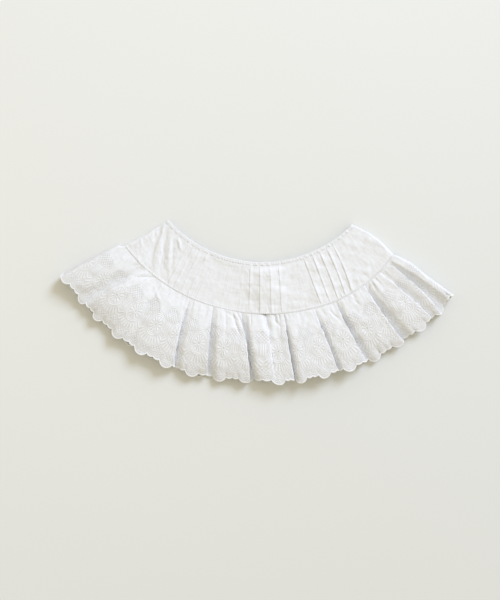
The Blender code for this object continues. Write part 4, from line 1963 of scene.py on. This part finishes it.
    def details(self, points: np.ndarray) -> np.ndarray:
        """Gathers, folds and unevenness of the front.

        Args:
            points: the grid's points, station by station.

        Returns:
            Distances in mm, one for each point.
        """
        front = self.front_stations()
        shares = self.shares[None, :]
        x, y = points[front, :, 0], points[front, :, 1]
        column, half, reach, height, drift = self.gathers[:, :, None, None]
        here = self.seam_angles[None, :, None]
        down = shares[None]
        wide = half * (1.0 + 1.6 * down)
        bell = np.exp(-(((here - column - drift * down) / wide) ** 2))
        fade = soft_step(down, 0.0, 0.05) * np.exp(-((down / reach) ** 1.6))
        raised = (height * bell * fade).sum(axis=0)
        raised += sum(fold.raised(x, y) for fold in self.sizes.folds)
        loose = soft_step(shares, 0.0, 0.3)
        raised += self.uneven.at(x, y) * loose * (1.0 - 0.4 * shares)
        raised += self.crumple.at(x, y) * soft_step(shares, 0.0, 0.1)
        whole = np.zeros(points.shape[:2])
        whole[front] = raised
        beside = np.minimum(np.arange(len(self.columns)), np.arange(len(self.columns))[::-1])
        whole[front] *= soft_step(beside, 0, 12)[:, None]
        return whole

    def build(self) -> tuple[bpy.types.Object, np.ndarray]:
        """Makes the ruffle.

        Returns:
            The piece, and its points row by row.
        """
        self.shares = np.linspace(0.0, 1.0, self.sizes.rows) ** 1.12
        start, end = self.fold(self.plan.left_fold, -1, 0.0), self.fold(self.plan.right_fold, 1, 0.0)
        self.seam_angles = self.front_angles(0.0, start, end)
        points, flat = self.grid(self.shares)
        faces = grid_faces(*points.shape[:2])
        piece = new_piece(
            "ruffle_cloth", points.reshape(-1, 3), faces, flat.reshape(-1, 2), EmbroideryFinish()
        )
        thicken(piece, self.shell)
        return piece, points


@dataclass(frozen=True)
class StitchSizes:
    """Sizes of a row of stitches."""

    length: float
    pitch: float
    radius: float


@dataclass(frozen=True)
class SewingSizes:
    """Sizes of the threads that show, and the rows of cloth that they lie on."""

    seam: StitchSizes = StitchSizes(1.3, 1.9, 0.27)
    seam_row: int = -3
    edge: StitchSizes = StitchSizes(1.5, 1.9, 0.13)
    edge_row: int = 6
    above: float = 0.22
    hem_radius: float = 0.55
    hem_sides: int = 8
    hem_finish: ThreadFinish = ThreadFinish(
        "hem_thread", (0.92, 0.92, 0.915), (0.87, 0.87, 0.865), 0.9, 0.05
    )


def tube(path: np.ndarray, radius: float, sides: int) -> tuple[np.ndarray, np.ndarray, np.ndarray]:
    """A round tube along a path.

    Args:
        path: points of its centre.
        radius: its radius.
        sides: sides of its section.

    Returns:
        Points, faces and places on its flattened surface.
    """
    forward = unit(np.gradient(path, axis=0))
    aside = unit(np.cross(forward, np.array([0.0, 0.0, 1.0])))
    up = np.cross(aside, forward)
    turn = np.linspace(0.0, 2.0 * math.pi, sides, endpoint=False)
    ring = aside[:, None] * np.cos(turn)[:, None] + up[:, None] * np.sin(turn)[:, None]
    points = path[:, None] + ring * radius
    passed = np.concatenate([[0.0], np.cumsum(np.linalg.norm(np.diff(path, axis=0), axis=1))])
    flat = np.stack(np.broadcast_arrays(passed[:, None], turn[None, :] / (2.0 * math.pi)), axis=-1)
    return points.reshape(-1, 3), grid_faces(len(path), sides, True), flat.reshape(-1, 2)


def stitches(path: np.ndarray, out: np.ndarray, sizes: StitchSizes) -> tuple[np.ndarray, ...]:
    """A row of short raised stitches, each a bead that dips into the cloth at both ends.

    Args:
        path: line that they follow.
        out: direction out of the cloth at each point of it.
        sizes: how long, far apart and thick they are.

    Returns:
        Points, faces and places on the flattened thread.
    """
    passed = np.concatenate([[0.0], np.cumsum(np.linalg.norm(np.diff(path, axis=0), axis=1))])
    starts = np.arange(sizes.pitch / 2, passed[-1] - sizes.pitch / 2, sizes.pitch)
    steps = np.array([-0.5, -0.42, -0.2, 0.2, 0.42, 0.5]) * sizes.length
    girth = np.array([0.05, 0.7, 1.0, 1.0, 0.7, 0.05]) * sizes.radius
    rise = np.array([-0.5, 0.0, 0.45, 0.45, 0.0, -0.5]) * sizes.radius
    at = starts[:, None] + steps[None, :]
    centre = np.stack([np.interp(at, passed, path[:, axis]) for axis in range(3)], axis=-1)
    up = unit(np.stack([np.interp(at, passed, out[:, axis]) for axis in range(3)], axis=-1))
    forward = unit(np.gradient(centre, axis=1))
    aside = unit(np.cross(forward, up))
    centre = centre + up * rise[None, :, None]
    turn = np.linspace(0.0, 2.0 * math.pi, 6, endpoint=False)
    ring = aside[:, :, None] * np.cos(turn)[:, None] + up[:, :, None] * np.sin(turn)[:, None]
    points = centre[:, :, None] + ring * girth[None, :, None, None]
    one = grid_faces(len(steps), len(turn), True)
    faces = (one[None] + np.arange(len(starts))[:, None, None] * len(steps) * len(turn)).reshape(-1, 4)
    flat = np.stack(np.broadcast_arrays(at[:, :, None], turn / (2.0 * math.pi)), axis=-1)
    return points.reshape(-1, 3), faces, flat.reshape(-1, 2)


class Sewing:
    """The threads that show: along the seam, round the neck and over the scallops' edge."""

    def __init__(self, sizes: SewingSizes) -> None:
        """Keeps the sizes of the sewing."""
        self.sizes = sizes

    def on_cloth(
        self, name: str, points: np.ndarray, row: int, sizes: StitchSizes, side: float = 1.0
    ) -> bpy.types.Object:
        """Lays stitches on a row of a grid of cloth.

        Args:
            name: the piece's name.
            points: the grid, station by station.
            row: which of its rows.
            sizes: the stitches' sizes.
            side: 1 where the grid's rows run away from the neck, and -1 where they run to it.

        Returns:
            The piece.
        """
        out = unit(np.cross(np.gradient(points, axis=1), np.gradient(points, axis=0)))[:, row] * side
        surface = points[:, row] + out * self.sizes.above
        return new_piece(name, *stitches(surface, out, sizes), ThreadFinish(name))

    def hem(self, points: np.ndarray) -> bpy.types.Object:
        """The satin-stitched edge, a rounded cord along the hem."""
        made = tube(points[:, -1], self.sizes.hem_radius, self.sizes.hem_sides)
        return new_piece("hem_edge", *made, self.sizes.hem_finish)


@dataclass(frozen=True)
class ClosureSizes:
    """Sizes of the loop, which runs round the button and straight back to the opening."""

    centre: tuple[float, float] = (6.07, 30.9)
    radius: float = 4.85
    straight: tuple[float, float, int] = (-9.2, -0.4, 16)
    turn_steps: int = 28
    above: float = 0.55
    thread: float = 40.0
    twist: float = 3.2
    strand_off: float = 0.17
    strand_radius: float = 0.25
    strand_sides: int = 6


class Closure:
    """Shell button and its thread loop at the back neck."""

    def __init__(self, sizes: ClosureSizes) -> None:
        """Keeps the sizes of the closure."""
        self.sizes = sizes

    def build_loop(self) -> bpy.types.Object:
        """Makes the loop as two turns of thread round the button and back to the opening.

        Returns:
            The piece.
        """
        sizes = self.sizes
        turn = np.radians(np.linspace(90.0, -90.0, sizes.turn_steps))
        round_button = np.stack([sizes.radius * np.cos(turn), sizes.radius * np.sin(turn)], axis=-1)
        straight = np.linspace(*sizes.straight)
        upper = np.stack([straight, np.full_like(straight, sizes.radius)], axis=-1)
        path = np.concatenate([upper, round_button, upper[::-1] * (1.0, -1.0)])
        level = np.full((len(path), 1), sizes.above)
        centre = np.concatenate([path + sizes.centre, level], axis=1)
        passed = np.linspace(0.0, sizes.thread, len(path))
        aside = unit(np.cross(np.gradient(centre, axis=0), np.array([0.0, 0.0, 1.0])))
        strands = []
        for start in (0.0, math.pi):
            twist = passed * (2.0 * math.pi / sizes.twist) + start
            off = aside * np.cos(twist)[:, None] * sizes.strand_off
            off[:, 2] += np.sin(twist) * sizes.strand_off
            strands.append(tube(centre + off, sizes.strand_radius, sizes.strand_sides))
        count = len(strands[0][0])
        points, flat = (np.concatenate([strand[i] for strand in strands]) for i in (0, 2))
        faces = np.concatenate([strands[0][1], strands[1][1] + count])
        return new_piece("button_loop_thread", points, faces, flat, ThreadFinish("loop_thread"))

    def dress(self, button: bpy.types.Object) -> None:
        """Gives the button its shell finish."""
        button.data.materials.clear()
        button.data.materials.append(PearlFinish().material())


@dataclass(frozen=True)
class CameraSizes:
    """Where the camera stands: straight above, far enough to look nearly square on."""

    aim: tuple[float, float] = (-8.07, 1.70)
    distance: float = 1300.0
    frame_height: float = 552.0
    sensor: float = 36.0


@dataclass(frozen=True)
class StudioSizes:
    """Light and floor of the studio."""

    key_direction: tuple[float, float, float] = (0.52, 0.60, 0.6)
    key_distance: float = 4.0
    key_size: float = 1.8
    key_power: float = 125.5
    key_colour: tuple[float, float, float] = (0.66, 0.755, 1.0)
    fill_strength: float = 0.711
    fill_colour: tuple[float, float, float] = (1.0, 0.932, 0.757)
    floor: float = 2.4
    floor_drop: float = 0.4


class Studio:
    """Camera, light and floor."""

    def __init__(self, camera: CameraSizes, sizes: StudioSizes) -> None:
        """Keeps the sizes of the studio."""
        self.camera = camera
        self.sizes = sizes

    def build_camera(self) -> bpy.types.Object:
        """Makes the camera, whose lens fits the frame's height at the surface.

        Returns:
            The camera.
        """
        view = self.camera
        data = bpy.data.cameras.new("camera")
        data.sensor_width = view.sensor
        data.lens = view.sensor * view.distance / view.frame_height
        data.clip_end = 50.0
        made = bpy.data.objects.new("camera", data)
        made.location = (view.aim[0] * MM, view.aim[1] * MM, view.distance * MM)
        bpy.context.scene.collection.objects.link(made)
        bpy.context.scene.camera = made
        return made

    def build_lights(self) -> None:
        """Makes one large soft light up to the right, and an even fill from all round."""
        sizes = self.sizes
        data = bpy.data.lights.new("key", "AREA")
        data.shape = "DISK"
        data.size = sizes.key_size
        data.energy = sizes.key_power
        data.color = sizes.key_colour
        key = bpy.data.objects.new("key", data)
        away = unit(np.array(sizes.key_direction)) * sizes.key_distance
        key.location = away.tolist()
        key.rotation_euler = (
            0.0,
            math.acos(away[2] / sizes.key_distance),
            math.atan2(away[1], away[0]),
        )
        bpy.context.scene.collection.objects.link(key)
        world = bpy.data.worlds.new("fill")
        world.use_nodes = True
        sky = world.node_tree.nodes["Background"]
        sky.inputs["Color"].default_value = (*sizes.fill_colour, 1.0)
        sky.inputs["Strength"].default_value = sizes.fill_strength
        bpy.context.scene.world = world
        bpy.context.scene.view_settings.view_transform = "Standard"

    def build_floor(self) -> bpy.types.Object:
        """Makes the surface that the collar lies on.

        Returns:
            The floor.
        """
        half, low = self.sizes.floor / 2, -self.sizes.floor_drop * MM
        corners = [(-half, -half, low), (half, -half, low), (half, half, low), (-half, half, low)]
        mesh = bpy.data.meshes.new("floor")
        mesh.from_pydata(corners, [], [(0, 1, 2, 3)])
        mesh.materials.append(FloorFinish().material())
        floor = bpy.data.objects.new("floor", mesh)
        bpy.context.scene.collection.objects.link(floor)
        return floor


def attach(piece: bpy.types.Object, slot: str, *nodes: str) -> None:
    """Ties a piece to the frame's body, and hides the solids that it stands for.

    Args:
        piece: the piece.
        slot: name of its finish's slot; not used.
        nodes: names of the solids that it stands for.
    """
    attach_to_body(piece, "root")
    if nodes:
        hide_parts(*nodes)


def main() -> None:
    """Builds the camera, the collar and the studio, in that order."""
    logging.basicConfig(level=logging.INFO, format="%(message)s")
    studio = Studio(CameraSizes(), StudioSizes())
    studio.build_camera()
    plan, lie = Plan(), Lie()

    yoke = Yoke(plan, lie, YokeSizes(), Tucks())
    yoke_cloth, yoke_points = yoke.build()
    attach(yoke_cloth, "lawn", "yoke")
    LOG.info("yoke: %d points", len(yoke_cloth.data.vertices))

    binding = NeckBinding(plan, lie, BindingSizes())
    binding_cloth, binding_points = binding.build()
    attach(binding_cloth, "binding", "neck_binding")
    LOG.info("binding: %d points", len(binding_cloth.data.vertices))

    ruffle = Ruffle(plan, lie, RuffleSizes(), Scallops())
    ruffle_cloth, ruffle_points = ruffle.build()
    attach(ruffle_cloth, "embroidered_cotton", "ruffle")
    LOG.info("ruffle: %d points", len(ruffle_cloth.data.vertices))

    sizes = SewingSizes()
    sewing = Sewing(sizes)
    seam = sewing.on_cloth("seam_stitches", yoke_points, sizes.seam_row, sizes.seam)
    edge = sewing.on_cloth("edge_stitches", binding_points, sizes.edge_row, sizes.edge, -1.0)
    hem = sewing.hem(ruffle_points)
    attach(seam, "lawn")
    attach(edge, "binding")
    attach(hem, "embroidered_cotton")
    LOG.info("sewing laid")

    closure = Closure(ClosureSizes())
    loop = closure.build_loop()
    attach(loop, "loop_thread", "button_loop")
    closure.dress(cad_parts["button"])
    LOG.info("closure made")

    studio.build_lights()
    studio.build_floor()


if __name__ == "__main__":
    main()
